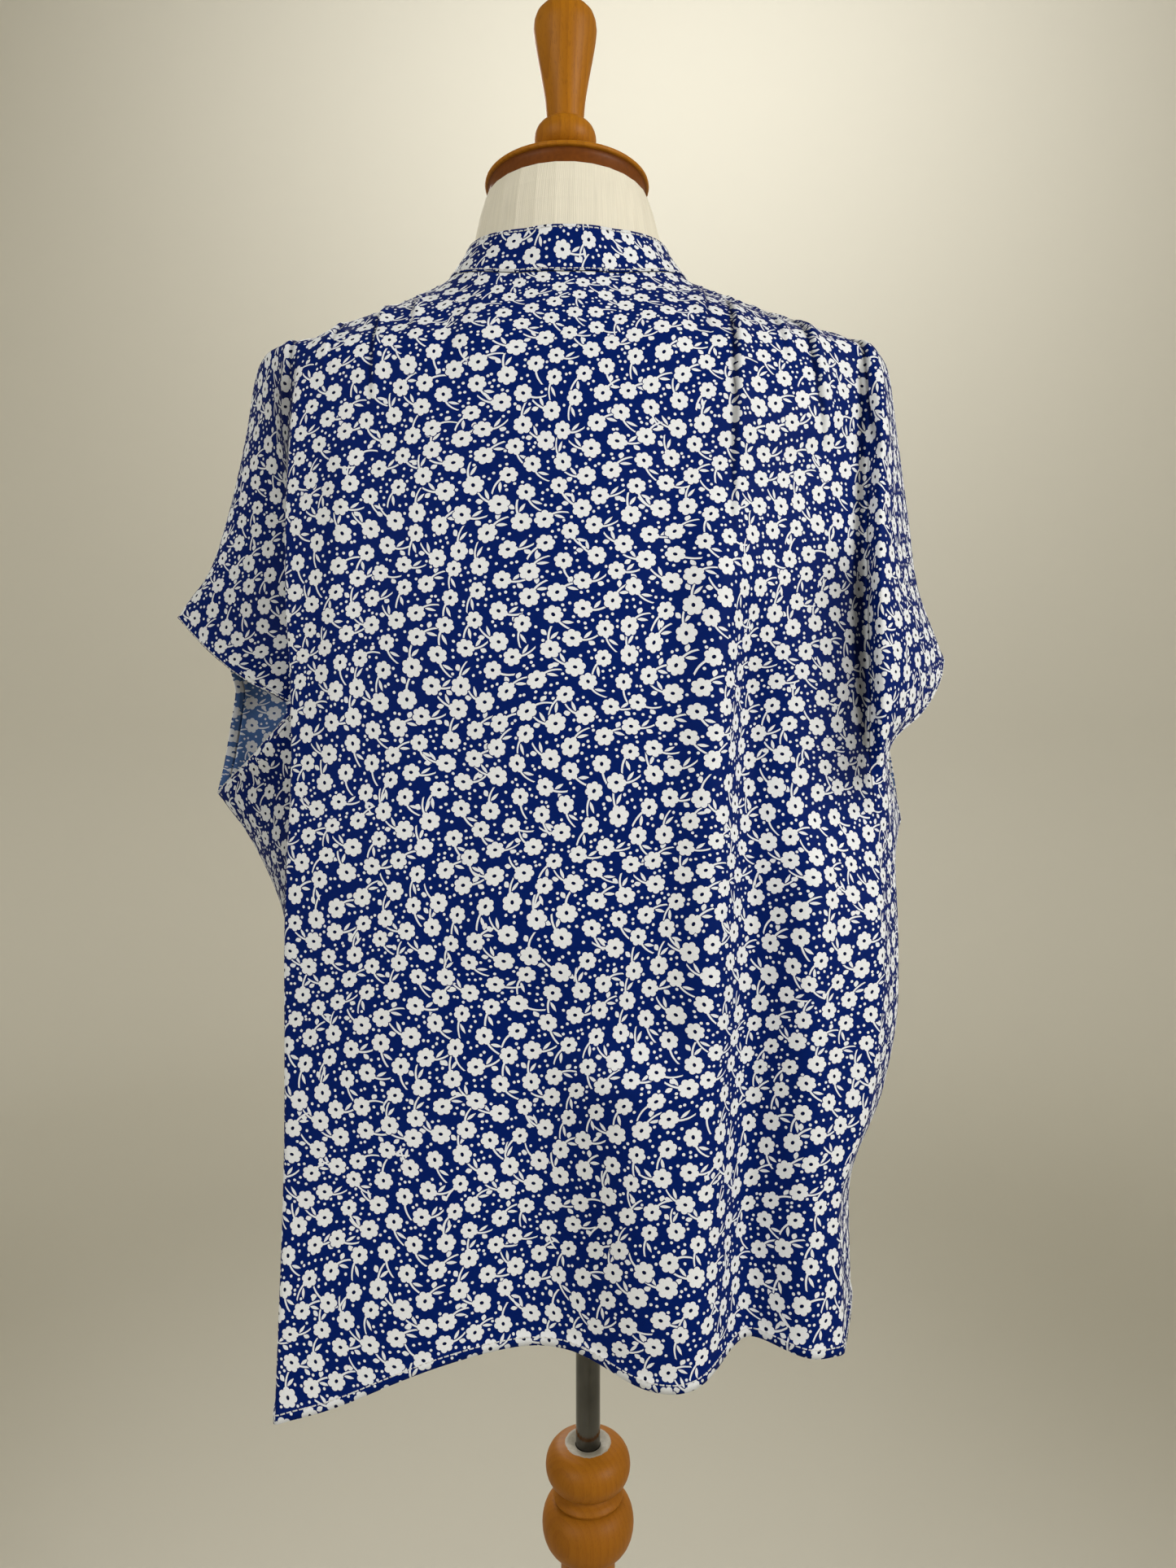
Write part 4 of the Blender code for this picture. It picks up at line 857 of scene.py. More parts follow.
def back_grid():
    """Outer face of the back, with its creases and gathers, and the shade in its folds."""
    left = back_side_controls(BACK_LEFT, LEFT_FOLD_SOFTNESS, BACK_HEM_LEFT)
    right = back_side_controls(BACK_RIGHT, RIGHT_FOLD_SOFTNESS, BACK_HEM_RIGHT)
    places = half_places(FINE_BACK_COLUMNS)
    grid = cloth_surface(back_top, whole_rows(left, right), places, BACK_EASING)
    grid = creased(grid, face_normals(grid, 1), BACK_CREASES, 1)
    for side, gathers in ((1, LEFT_GATHERS), (-1, RIGHT_GATHERS)):
        grid = gathered(grid, face_normals(grid, 1), places, gathers, side)
    grid[:, 1:-1] = clear_of_form(grid[:, 1:-1], WALL + REST)
    shade = back_shade(grid, places)
    grid = pleated(grid, face_normals(grid, 1), BACK_PLEATS)
    return leaned(hemmed(grid, 1)), shade


def front_grid():
    """Outer face of the front, which the photo's side hides, in plainer folds."""
    left = front_side_controls(BACK_LEFT, 0.0, FRONT_HEM_LEFT)
    right = front_side_controls(BACK_RIGHT, RIGHT_CUFF_IN, FRONT_HEM_RIGHT)
    places = half_places(FINE_FRONT_COLUMNS)
    grid = cloth_surface(front_top, whole_rows(left, right), places, FRONT_EASING)
    grid = creased(grid, face_normals(grid, -1), FRONT_CREASES, -1)
    grid[1:, 1:-1] = clear_of_form(grid[1:, 1:-1], WALL + 2 * REST)
    return leaned(hemmed(grid, -1))


back_points, back_painted_shade = back_grid()
front_points = front_grid()
print("back grid", back_points.shape[:2], "front grid", front_points.shape[:2])

# %% [markdown]
# The print has to lie on the cloth as it lay before it was cut and sewn: in the flat. A coarse
# copy of each panel is unwrapped, which flattens it with little stretch, and scaled until its
# area is the cloth's own, so that one unit of the map is one metre of cloth. The fine grid then
# takes its map by running smooth curves through the coarse one.

# %% Flatten a panel
COARSE_STEP = 4


def select_only(piece):
    """Make one piece the selected and active one."""
    bpy.ops.object.select_all(action="DESELECT")
    piece.select_set(True)
    bpy.context.view_layer.objects.active = piece


def grid_mesh(name, grid, flip):
    """A plain sheet of quads through a grid of points; returns the new object."""
    rows, columns = grid.shape[:2]
    index = np.arange(rows * columns).reshape(rows, columns)
    corners = [index[:-1, :-1], index[1:, :-1], index[1:, 1:], index[:-1, 1:]]
    if flip:
        corners.reverse()
    faces = np.stack([c.ravel() for c in corners], axis=1)
    data = bpy.data.meshes.new(name)
    data.from_pydata(grid.reshape(-1, 3).tolist(), [], faces.tolist())
    piece = bpy.data.objects.new(name, data)
    scene.collection.objects.link(piece)
    return piece


def coarse_lines(count):
    """Every few lines of a grid, with its last line always among them."""
    lines = list(range(0, count - 1, COARSE_STEP))
    return np.array(lines + [count - 1])


def mean_distances(grid, axis):
    """Mean distance of each line of a grid from the first one."""
    steps = np.linalg.norm(np.diff(grid, axis=axis), axis=-1).mean(axis=1 - axis)
    return np.concatenate([[0], np.cumsum(steps)])


def flat_map(grid):
    """Place of each grid point in the flat cloth, in metres."""
    rows, columns = coarse_lines(grid.shape[0]), coarse_lines(grid.shape[1])
    coarse = grid[np.ix_(rows, columns)]
    piece = grid_mesh("flattening", coarse, False)
    piece.data.uv_layers.new(name="cloth")
    select_only(piece)
    bpy.ops.object.mode_set(mode="EDIT")
    bpy.ops.mesh.select_all(action="SELECT")
    bpy.ops.uv.unwrap(method="MINIMUM_STRETCH", fill_holes=False, margin=0.0)
    bpy.ops.object.mode_set(mode="OBJECT")
    flat = np.zeros((len(piece.data.vertices), 2))
    layer = piece.data.uv_layers["cloth"].data
    for loop in piece.data.loops:
        flat[loop.vertex_index] = layer[loop.index].uv
    flat = flat.reshape(coarse.shape[:2] + (2,))
    real = sum(face.area for face in piece.data.polygons)
    bpy.data.objects.remove(piece)
    a, b = flat[1:, 1:] - flat[:-1, :-1], flat[1:, :-1] - flat[:-1, 1:]
    drawn = abs((a[..., 0] * b[..., 1] - a[..., 1] * b[..., 0]).sum()) / 2
    flat = (flat - flat.mean(axis=(0, 1))) * math.sqrt(real / drawn)
    guide = coarse[..., [0, 2]] - coarse[..., [0, 2]].mean(axis=(0, 1))
    turn, _, other = np.linalg.svd(np.einsum("rci,rcj->ij", flat, guide))
    flat = flat @ turn @ other
    along, down = (mean_distances(grid, axis) for axis in (1, 0))
    across = np.stack([curve(along[columns], row, along) for row in flat])
    return curve(down[rows], across, down), real


back_flat, back_area = flat_map(back_points)
front_flat, front_area = flat_map(front_points)
for label, flat, area in (("back", back_flat, back_area), ("front", front_flat, front_area)):
    size = np.ptp(flat.reshape(-1, 2), axis=0)
    print(label, "lies", size.round(3), "m flat, area", round(area, 3), "square metres")

# %% [markdown]
# A sheet becomes cloth when it has two faces. Solidify adds the inner face and closes the edges,
# and the inner face gets a finish of its own, because a printed cloth is paler inside; it is
# painted lighter still, as painted light on the inside that shows in the cuffs' shade. Where a
# panel has painted fold shade, its numbers are stored on its points for the finish to read.

# %% Make cloth from a grid
CLOTH_THICKNESS = 0.0007


def set_flat_map(piece, flat):
    """Store the flat cloth's places as the piece's UV map."""
    layer = piece.data.uv_layers.new(name="cloth")
    loops = np.zeros(len(piece.data.loops), int)
    piece.data.loops.foreach_get("vertex_index", loops)
    layer.data.foreach_set("uv", flat.reshape(-1, 2)[loops].ravel())


def make_cloth(name, grid, flat, flip, shade=None):
    """A thin two-faced cloth on a grid of points."""
    piece = grid_mesh(name, grid, flip)
    set_flat_map(piece, flat)
    # painted shade: the darkness of the deep folds is stored on the points as a number
    if shade is not None:
        painted_fold_shade = piece.data.attributes.new("painted_fold_shade", "FLOAT", "POINT")
        painted_fold_shade.data.foreach_set("value", shade.ravel())
    select_only(piece)
    piece.data.materials.append(blouse_print)
    piece.data.materials.append(blouse_inside)
    wall = piece.modifiers.new("wall", "SOLIDIFY")
    wall.thickness = CLOTH_THICKNESS
    wall.offset = -1
    wall.material_offset = 1
    wall.material_offset_rim = 0
    bpy.ops.object.modifier_apply(modifier=wall.name)
    bpy.ops.object.shade_smooth()
    return piece


print("cloth", 1000 * CLOTH_THICKNESS, "mm thick")

# %% [markdown]
# The print is scattered white flowers on blue, each with a stem, and leaves and dots in the gaps.
# It is drawn with plain arithmetic on the flat map. The flowers stand near the points of a
# triangular lattice, each turned and shifted at random. A flower with its stem is wider than one
# cell, so four lattices of double spacing are laid into each other, and each one has room.

# %% Node helpers
FLOWER_COLUMN = 15.6
FLOWER_ROW = 13.5


class Nodes:
    """Adds nodes to a tree and links them, one line for each step of a sum."""

    def __init__(self, tree):
        self.tree = tree

    def node(self, kind, **settings):
        made = self.tree.nodes.new(kind)
        for key, value in settings.items():
            setattr(made, key, value)
        return made

    def feed(self, socket, value):
        if isinstance(value, bpy.types.NodeSocket):
            self.tree.links.new(value, socket)
        elif value is not None:
            socket.default_value = value

    def sum(self, operation, *values):
        made = self.node("ShaderNodeMath", operation=operation)
        for socket, value in zip(made.inputs, values):
            self.feed(socket, value)
        return made.outputs[0]

    def vector(self, operation, *values):
        made = self.node("ShaderNodeVectorMath", operation=operation)
        for socket, value in zip(made.inputs, values):
            self.feed(socket, value)
        return made.outputs["Value"] if operation in ("LENGTH", "DISTANCE") else made.outputs[0]

    def scaled(self, value, factor):
        made = self.node("ShaderNodeVectorMath", operation="SCALE")
        self.feed(made.inputs[0], value)
        self.feed(made.inputs["Scale"], factor)
        return made.outputs[0]

    def split(self, value):
        made = self.node("ShaderNodeSeparateXYZ")
        self.feed(made.inputs[0], value)
        return made.outputs[0], made.outputs[1], made.outputs[2]

    def join(self, x, y):
        made = self.node("ShaderNodeCombineXYZ")
        self.feed(made.inputs["X"], x)
        self.feed(made.inputs["Y"], y)
        return made.outputs[0]

    def mix(self, share, first, second):
        made = self.node("ShaderNodeMix", data_type="RGBA")
        self.feed(made.inputs[0], share)
        self.feed(made.inputs[6], first)
        self.feed(made.inputs[7], second)
        return made.outputs[2]

    def noise(self, place, scale, detail=2.0, dimensions="3D"):
        made = self.node("ShaderNodeTexNoise", noise_dimensions=dimensions)
        self.feed(made.inputs["Vector"], place)
        made.inputs["Scale"].default_value = scale
        made.inputs["Detail"].default_value = detail
        return made.outputs

    def rotate(self, place, angle):
        made = self.node("ShaderNodeVectorRotate", rotation_type="Z_AXIS")
        self.feed(made.inputs["Vector"], place)
        self.feed(made.inputs["Angle"], angle)
        return made.outputs[0]

    def place_group(self, group, **inputs):
        made = self.node("ShaderNodeGroup", node_tree=group)
        for label, value in inputs.items():
            self.feed(made.inputs[label.replace("_", " ")], value)
        return made.outputs

    def bump(self, shader, height, strength, distance):
        made = self.node("ShaderNodeBump")
        made.inputs["Strength"].default_value = strength
        made.inputs["Distance"].default_value = distance
        self.feed(made.inputs["Height"], height)
        self.feed(shader.inputs["Normal"], made.outputs[0])


def new_group(name, vectors, numbers):
    """A node group that takes vectors and puts out numbers; returns it with its end nodes."""
    group = bpy.data.node_groups.new(name, "ShaderNodeTree")
    for label in vectors:
        group.interface.new_socket(label, in_out="INPUT", socket_type="NodeSocketVector")
    for label in numbers:
        group.interface.new_socket(label, in_out="OUTPUT", socket_type="NodeSocketFloat")
    n = Nodes(group)
    return group, n, n.node("NodeGroupInput"), n.node("NodeGroupOutput")


def new_finish(name):
    """An empty material; returns it with its node helper and its shader."""
    made = bpy.data.materials.new(name)
    made.use_nodes = True
    return made, Nodes(made.node_tree), made.node_tree.nodes["Principled BSDF"]


print("flowers stand", FLOWER_COLUMN, "by", FLOWER_ROW, "mm apart")

# %% [markdown]
# Each motif is drawn as a distance: how far a place on the cloth is from the motif's edge. Below
# zero is inside. The petals are one cosine round the flower: its power makes the lobes round and
# the notches between them sharp. The dark heart is a slightly flattened disc.

# %% Shape of one flower
# All lengths of the print are millimetres
PETALS = 7
PETAL_NOTCH = 3.74
PETAL_RISE = 1.24
PETAL_ROUNDNESS = 0.6
FLOWER_LEAST_SIZE = 0.92
FLOWER_SIZE_RANGE = 0.16
HEART_RADIUS = 1.12
HEART_SQUASH = 1.25


def flower_distances(n, along, beside, chance):
    """Distances to the edges of the flower and of its dark heart."""
    size = n.sum("MULTIPLY_ADD", chance.outputs["Value"], FLOWER_SIZE_RANGE, FLOWER_LEAST_SIZE)
    radius = n.vector("LENGTH", n.join(along, beside))
    bearing = n.sum("ARCTAN2", beside, along)
    wave = n.sum("ABSOLUTE", n.sum("COSINE", n.sum("MULTIPLY", bearing, PETALS / 2)))
    petal = n.sum("MULTIPLY_ADD", n.sum("POWER", wave, PETAL_ROUNDNESS), PETAL_RISE, PETAL_NOTCH)
    flower = n.sum("SUBTRACT", radius, n.sum("MULTIPLY", petal, size))
    heart = n.vector("LENGTH", n.join(along, n.sum("MULTIPLY", beside, HEART_SQUASH)))
    return flower, n.sum("SUBTRACT", heart, HEART_RADIUS)


print(PETALS, "petals, a flower of", round(2 * (PETAL_NOTCH + PETAL_RISE), 1), "mm")

# %% [markdown]
# A stem starts inside the flower and bends to one side. Its leaves lie beside it, one on each
# side, as two arcs that meet in points. Some leaves are left out at random, as on the real cloth.

# %% Stem and leaves
STEM_ROOT = 0.8
STEM_LENGTH = 8.4
STEM_HALF_WIDTH = 0.54
STEM_LEAST_BEND = 0.035
STEM_BEND_RANGE = 0.035
LEAF_HALF_LENGTH = 2.45
LEAF_HALF_WIDTH = 0.98
LEAF_OFFSET = 2.70
LEAF_TILT_DEGREES = 46
Leaf = namedtuple("Leaf", "reach side missing")
LEAVES = (Leaf(3.3, 1, 0.12), Leaf(5.8, -1, 0.35))
OUT_OF_REACH = 9.0


def least(n, values):
    """Smallest of several values."""
    found = values[0]
    for value in values[1:]:
        found = n.sum("MINIMUM", found, value)
    return found


def leaf_distance(n, reach, outer, leaf, draw):
    """Distance to the edge of one leaf, which is left out where the draw is low."""
    u = n.sum("SUBTRACT", reach, leaf.reach)
    v = n.sum("SUBTRACT", outer, leaf.side * LEAF_OFFSET)
    tilt = math.radians(LEAF_TILT_DEGREES) * leaf.side
    length_wise = n.sum("MULTIPLY_ADD", u, math.cos(tilt), n.sum("MULTIPLY", v, math.sin(tilt)))
    cross_wise = n.sum("MULTIPLY_ADD", u, -math.sin(tilt), n.sum("MULTIPLY", v, math.cos(tilt)))
    share = n.sum("DIVIDE", length_wise, LEAF_HALF_LENGTH)
    squared = n.sum("MULTIPLY", share, share)
    half = n.sum("MULTIPLY_ADD", squared, -LEAF_HALF_WIDTH, LEAF_HALF_WIDTH)
    edge = n.sum("SUBTRACT", n.sum("ABSOLUTE", cross_wise), half)
    return n.sum("MULTIPLY_ADD", n.sum("LESS_THAN", draw, leaf.missing), OUT_OF_REACH, edge)


def stem_distance(n, along, beside, chance):
    """Distance to the nearest edge of the bent stem and its leaves."""
    first, second, third = n.split(chance.outputs["Color"])
    reach = n.sum("SUBTRACT", along, PETAL_NOTCH)
    way = n.sum("MULTIPLY_ADD", n.sum("ROUND", chance.outputs["Value"]), 2.0, -1.0)
    bend = n.sum("MULTIPLY", way, n.sum("MULTIPLY_ADD", third, STEM_BEND_RANGE, STEM_LEAST_BEND))
    sag = n.sum("MULTIPLY", n.sum("MULTIPLY", reach, reach), bend)
    off_line = n.sum("SUBTRACT", beside, sag)
    side = n.sum("SUBTRACT", n.sum("ABSOLUTE", off_line), STEM_HALF_WIDTH)
    root, tip = n.sum("SUBTRACT", -STEM_ROOT, reach), n.sum("SUBTRACT", reach, STEM_LENGTH)
    green = [n.sum("MAXIMUM", side, n.sum("MAXIMUM", root, tip))]
    outer = n.sum("MULTIPLY", off_line, way)
    for leaf, draw in zip(LEAVES, (second, first)):
        green.append(leaf_distance(n, reach, outer, leaf, draw))
    return least(n, green)


print("a stem of", STEM_LENGTH, "mm with up to", len(LEAVES), "leaves")

# %% [markdown]
# The lattice itself: every place looks for its nearest lattice point, and a noise node gives that
# point its own random numbers. They shift the flower, turn it to one of six sides and slide it a
# little along its stem. The sides point between the neighbours, so a stem has room to grow.

# %% One lattice of flowers
FLOWER_JITTER = 3.0
STEM_SIDES = 6
TURN_JITTER_DEGREES = 36
LEAST_SLIDE = 0.4
SLIDE_RANGE = 2.2


def centred(n, chance):
    """A random number from 0 to 1, moved to lie between -0.5 and 0.5."""
    return n.sum("SUBTRACT", chance, 0.5)


def nearest_number(n, value, shift):
    """The nearest even number, or the nearest odd one where the shift is 1."""
    half = n.sum("MULTIPLY", n.sum("SUBTRACT", value, shift), 0.5)
    return n.sum("MULTIPLY_ADD", n.sum("ROUND", half), 2.0, shift)


def lattice_point(n, place, shift):
    """The place measured from the nearest flower's middle, and the flower's random numbers."""
    x, y, _ = n.split(place)
    shift_a, shift_b, _ = n.split(shift)
    b = n.sum("DIVIDE", y, FLOWER_ROW)
    a = n.sum("MULTIPLY_ADD", b, -0.5, n.sum("DIVIDE", x, FLOWER_COLUMN))
    near_a, near_b = nearest_number(n, a, shift_a), nearest_number(n, b, shift_b)
    chance = n.node("ShaderNodeTexWhiteNoise", noise_dimensions="2D")
    n.feed(chance.inputs["Vector"], n.join(near_a, near_b))
    _, second, third = n.split(chance.outputs["Color"])
    column = n.sum("MULTIPLY", n.sum("MULTIPLY_ADD", near_b, 0.5, near_a), FLOWER_COLUMN)
    centre_x = n.sum("MULTIPLY_ADD", centred(n, third), FLOWER_JITTER, column)
    row = n.sum("MULTIPLY", near_b, FLOWER_ROW)
    centre_y = n.sum("MULTIPLY_ADD", centred(n, second), FLOWER_JITTER, row)
    return n.join(n.sum("SUBTRACT", x, centre_x), n.sum("SUBTRACT", y, centre_y)), chance


def flower_axes(n, away, chance):
    """Distances along the flower's stem and beside it."""
    first, second, third = n.split(chance.outputs["Color"])
    side = n.sum("FLOOR", n.sum("MULTIPLY", first, STEM_SIDES))
    angle = n.sum("MULTIPLY_ADD", side, math.tau / STEM_SIDES, math.pi / STEM_SIDES)
    angle = n.sum("MULTIPLY_ADD", centred(n, second), math.radians(TURN_JITTER_DEGREES), angle)
    along, beside, _ = n.split(n.rotate(away, angle))
    return n.sum("ADD", along, n.sum("MULTIPLY_ADD", third, SLIDE_RANGE, LEAST_SLIDE)), beside


def flower_lattice_group():
    """Distances in millimetres to the flower, stem and heart of the nearest lattice point."""
    group, n, given, out = new_group("flower_lattice", ("Place", "Shift"), ("Flower", "Stem", "Heart"))
    away, chance = lattice_point(n, given.outputs["Place"], given.outputs["Shift"])
    along, beside = flower_axes(n, away, chance)
    flower, heart = flower_distances(n, along, beside, chance)
    n.feed(out.inputs["Flower"], flower)
    n.feed(out.inputs["Stem"], stem_distance(n, along, beside, chance))
    n.feed(out.inputs["Heart"], heart)
    return group


flower_lattice = flower_lattice_group()
print(flower_lattice.name, "has", len(flower_lattice.nodes), "nodes")

# %% [markdown]
# The second group lays four lattices together. A stem stops short of any other flower, and two
# flowers that meet keep a thin line of ground between them, as on a real print.

# %% Four lattices together
LATTICE_SHIFTS = ((0, 0, 0), (1, 0, 0), (0, 1, 0), (1, 1, 0))
MOTIF_GAP = 0.5


def flower_field_group():
    """Distances to the nearest flower, stem and heart of the whole print."""
    group, n, given, out = new_group("flower_field", ("Place",), ("Flower", "Stem", "Heart"))
    lattices = [n.place_group(flower_lattice, Place=given.outputs["Place"], Shift=shift)
                for shift in LATTICE_SHIFTS]
    flowers = [lattice["Flower"] for lattice in lattices]
    stems = [lattice["Stem"] for lattice in lattices]
    hearts = [lattice["Heart"] for lattice in lattices]
    parted, single = [], []
    for i, stem in enumerate(stems):
        others = least(n, flowers[:i] + flowers[i + 1:])
        parted.append(n.sum("MAXIMUM", stem, n.sum("SUBTRACT", MOTIF_GAP, others)))
        meeting = n.sum("SUBTRACT", n.sum("ADD", flowers[i], MOTIF_GAP), others)
        single.append(n.sum("MAXIMUM", flowers[i], meeting))
    n.feed(out.inputs["Flower"], least(n, single))
    n.feed(out.inputs["Stem"], least(n, parted))
    n.feed(out.inputs["Heart"], least(n, hearts))
    return group


flower_field = flower_field_group()
print(flower_field.name, "lays", len(LATTICE_SHIFTS), "lattices together")

# %% [markdown]
# Dots fill what is left. A Voronoi pattern scatters their middles, and each middle is asked how
# far it is from the nearest flower, stem or leaf: where there is room, it gets a whole dot.

# %% The whole print
DOT_SPACING = 3.9
DOT_RADIUS = 0.78
DOT_ROOM = 1.45
PRINT_TURN_DEGREES = 17
DRIFT = 7.0
DRIFT_LENGTH = 60
DOT_UNEVENNESS = 0.62
METRES_TO_MM = (1000, 1000, 0)


def flower_print_group():
    """Masks of the print: what is white, and the dark hearts of the flowers."""
    group, n, given, out = new_group("flower_print", ("Map",), ("White", "Heart"))
    in_mm = n.vector("MULTIPLY", given.outputs["Map"], METRES_TO_MM)
    turned = n.rotate(in_mm, math.radians(PRINT_TURN_DEGREES))
    drift = n.noise(turned, 1 / DRIFT_LENGTH, 0.0, "2D")["Color"]
    drift = n.vector("MULTIPLY", n.vector("SUBTRACT", drift, (0.5, 0.5, 0.5)), (DRIFT, DRIFT, 0))
    place = n.vector("ADD", turned, drift)
    here = n.place_group(flower_field, Place=place)
    cells = n.node("ShaderNodeTexVoronoi", voronoi_dimensions="2D")
    n.feed(cells.inputs["Vector"], n.scaled(place, 1 / DOT_SPACING))
    cells.inputs["Scale"].default_value = 1.0
    cells.inputs["Randomness"].default_value = DOT_UNEVENNESS
    middle = n.scaled(cells.outputs["Position"], DOT_SPACING)
    there = n.place_group(flower_field, Place=middle)
    room = n.sum("MINIMUM", there["Flower"], there["Stem"])
    dot = n.sum("LESS_THAN", n.vector("DISTANCE", place, middle), DOT_RADIUS)
    mark = n.sum("MULTIPLY", dot, n.sum("GREATER_THAN", room, DOT_ROOM))
    motif = n.sum("LESS_THAN", n.sum("MINIMUM", here["Flower"], here["Stem"]), 0.0)
    n.feed(out.inputs["White"], n.sum("MAXIMUM", motif, mark))
    n.feed(out.inputs["Heart"], n.sum("LESS_THAN", here["Heart"], 0.0))
    return group


flower_print = flower_print_group()
print("dots", DOT_SPACING, "mm apart")

# %% [markdown]
# The cloth itself is a thin, slightly grained crepe. A small group gives that grain, and both
# faces use it. The outer face is the clear blue with off-white flowers, and the inner face shows
# the same print paler, because little of the ink comes through, and paler still as painted light,
# where the inside shows in the shade of the cuffs. Both are darkened by the painted fold shade
# stored on the points of the cloth.

# %% Grain of the crepe
CREPE_SCALE = 1500.0
CREPE_CONTRAST = 0.16
CREPE_TONE = 0.86
PATCH_SCALE = 9.0
PATCH_CONTRAST = 0.10
PATCH_TONE = 0.97


def crepe_group():
    """Fine uneven grain of a crepe: a height and a slight change of tone."""
    group, n, given, out = new_group("crepe", ("Map",), ("Height", "Tone"))
    grain = n.noise(given.outputs["Map"], CREPE_SCALE, dimensions="2D")["Fac"]
    patches = n.noise(given.outputs["Map"], PATCH_SCALE, dimensions="2D")["Fac"]
    n.feed(out.inputs["Height"], grain)
    tone = n.sum("MULTIPLY_ADD", grain, CREPE_CONTRAST, CREPE_TONE)
    patch_tone = n.sum("MULTIPLY_ADD", patches, PATCH_CONTRAST, PATCH_TONE)
    n.feed(out.inputs["Tone"], n.sum("MULTIPLY", tone, patch_tone))
    return group


crepe = crepe_group()
print(crepe.name, "has", len(crepe.nodes), "nodes")

# %% Cloth finishes
CREPE_BUMP = (0.25, 0.0002)


def cloth_material(name, ground, flower, heart):
    """A printed crepe from its three inks."""
    made, n, shader = new_finish(name)
    cloth_map = n.node("ShaderNodeUVMap", uv_map="cloth").outputs[0]
    printed = n.place_group(flower_print, Map=cloth_map)
    grain = n.place_group(crepe, Map=cloth_map)
    colour = n.mix(printed["White"], (*ground, 1), (*flower, 1))
    colour = n.mix(printed["Heart"], colour, (*heart, 1))
    # painted shade: the colour is darkened where the points carry painted fold shade
    painted_fold_shade = n.node("ShaderNodeAttribute", attribute_name="painted_fold_shade").outputs["Fac"]
    tone = n.sum("MULTIPLY", grain["Tone"], n.sum("SUBTRACT", 1.0, painted_fold_shade))
    n.feed(shader.inputs["Base Color"], n.scaled(colour, tone))
    n.bump(shader, grain["Height"], *CREPE_BUMP)
    shader.inputs["Roughness"].default_value = 0.62
    shader.inputs["Specular IOR Level"].default_value = 0.05
    return made


BLUE = (0.0002, 0.0112, 0.1200)
WHITE = (0.805, 0.820, 0.840)
NAVY = (0.0010, 0.0045, 0.0400)
# The inside inks are paler than the print's and lifted further as painted light, for the inside that
# shows in the shade of the cuffs
PALE_BLUE = (0.090, 0.180, 0.430)
PALE_WHITE = (0.880, 0.890, 0.920)
PALE_NAVY = (0.060, 0.110, 0.280)
blouse_print = cloth_material("blouse_print", BLUE, WHITE, NAVY)
blouse_inside = cloth_material("blouse_inside", PALE_BLUE, PALE_WHITE, PALE_NAVY)
print("inks:", BLUE, WHITE, NAVY)

# %% [markdown]
# With the finish ready, the back and the front become cloth. The size of each one's cut is
# measured on its flat map and printed.

# %% Back and front
BACK_CUT = tuple(np.ptp(back_flat.reshape(-1, 2), axis=0))
FRONT_CUT = tuple(np.ptp(front_flat.reshape(-1, 2), axis=0))
back = make_cloth("blouse_back", back_points, back_flat, True, back_painted_shade)
front = make_cloth("blouse_front", front_points, front_flat, False)
for piece, node, cut, area in (
    (back, "back", BACK_CUT, back_area), (front, "front", FRONT_CUT, front_area),
):
    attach(piece, "root")
    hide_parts(node)
    print(piece.name, len(piece.data.polygons), "faces, cut", [round(c, 3) for c in cut], "m")

# %% [markdown]
# The yokes are narrow strips that lie over the shoulders between the gathered back and the
# front, and the collar is a band that stands on the neckline. Both are short sheets, so their
# flat maps are simply the distances along them and across them.

# %% Yokes and collar
YOKE_COLUMNS = 61
YOKE_ROWS = 9
COLLAR_COLUMNS = 181
COLLAR_ROWS = 15
YOKE_CROWN = 0.0006
COLLAR_FOOT_LIFT = 0.0007
COLLAR_RIPPLE = 0.0006
RIPPLE_WAVES = (9, 4)
RIPPLE_START = 0.7
# Where each strip's own corner lies in the flat cloth, clear of the other panels
COLLAR_MAP_START = (0.9, 0.4)
YOKE_MAP_START = (1.5, 0.2)


def strip_map(grid, start):
    """Flat map of a narrow strip from the distances along and across it."""
    steps = np.linalg.norm(np.diff(grid, axis=1, prepend=grid[:, :1]), axis=-1)
    along = np.cumsum(steps, axis=1).mean(axis=0)
    along, down = np.meshgrid(along, mean_distances(grid, 0))
    return np.stack([start[0] + along, start[1] - down], axis=-1)


def yoke_grid(side, tip):
    """Outer face of a yoke, slightly crowned between its two seams."""
    lengthwise = np.linspace(0, YOKE_LENGTH, YOKE_COLUMNS)
    rows = []
    for share in np.linspace(0, 1, YOKE_ROWS):
        angle = YOKE_BACK_ANGLE + (YOKE_FRONT_ANGLE - YOKE_BACK_ANGLE) * share
        row = shoulder_line(neckline([angle])[0], tip, TIP_Y + YOKE_END * (0.5 - share), lengthwise)
        row += form_rise(row)[0] * YOKE_CROWN * math.sin(math.pi * share)
        rows.append(row)
    grid = np.array(rows) * np.array([side, 1, 1])
    return leaned(grid)


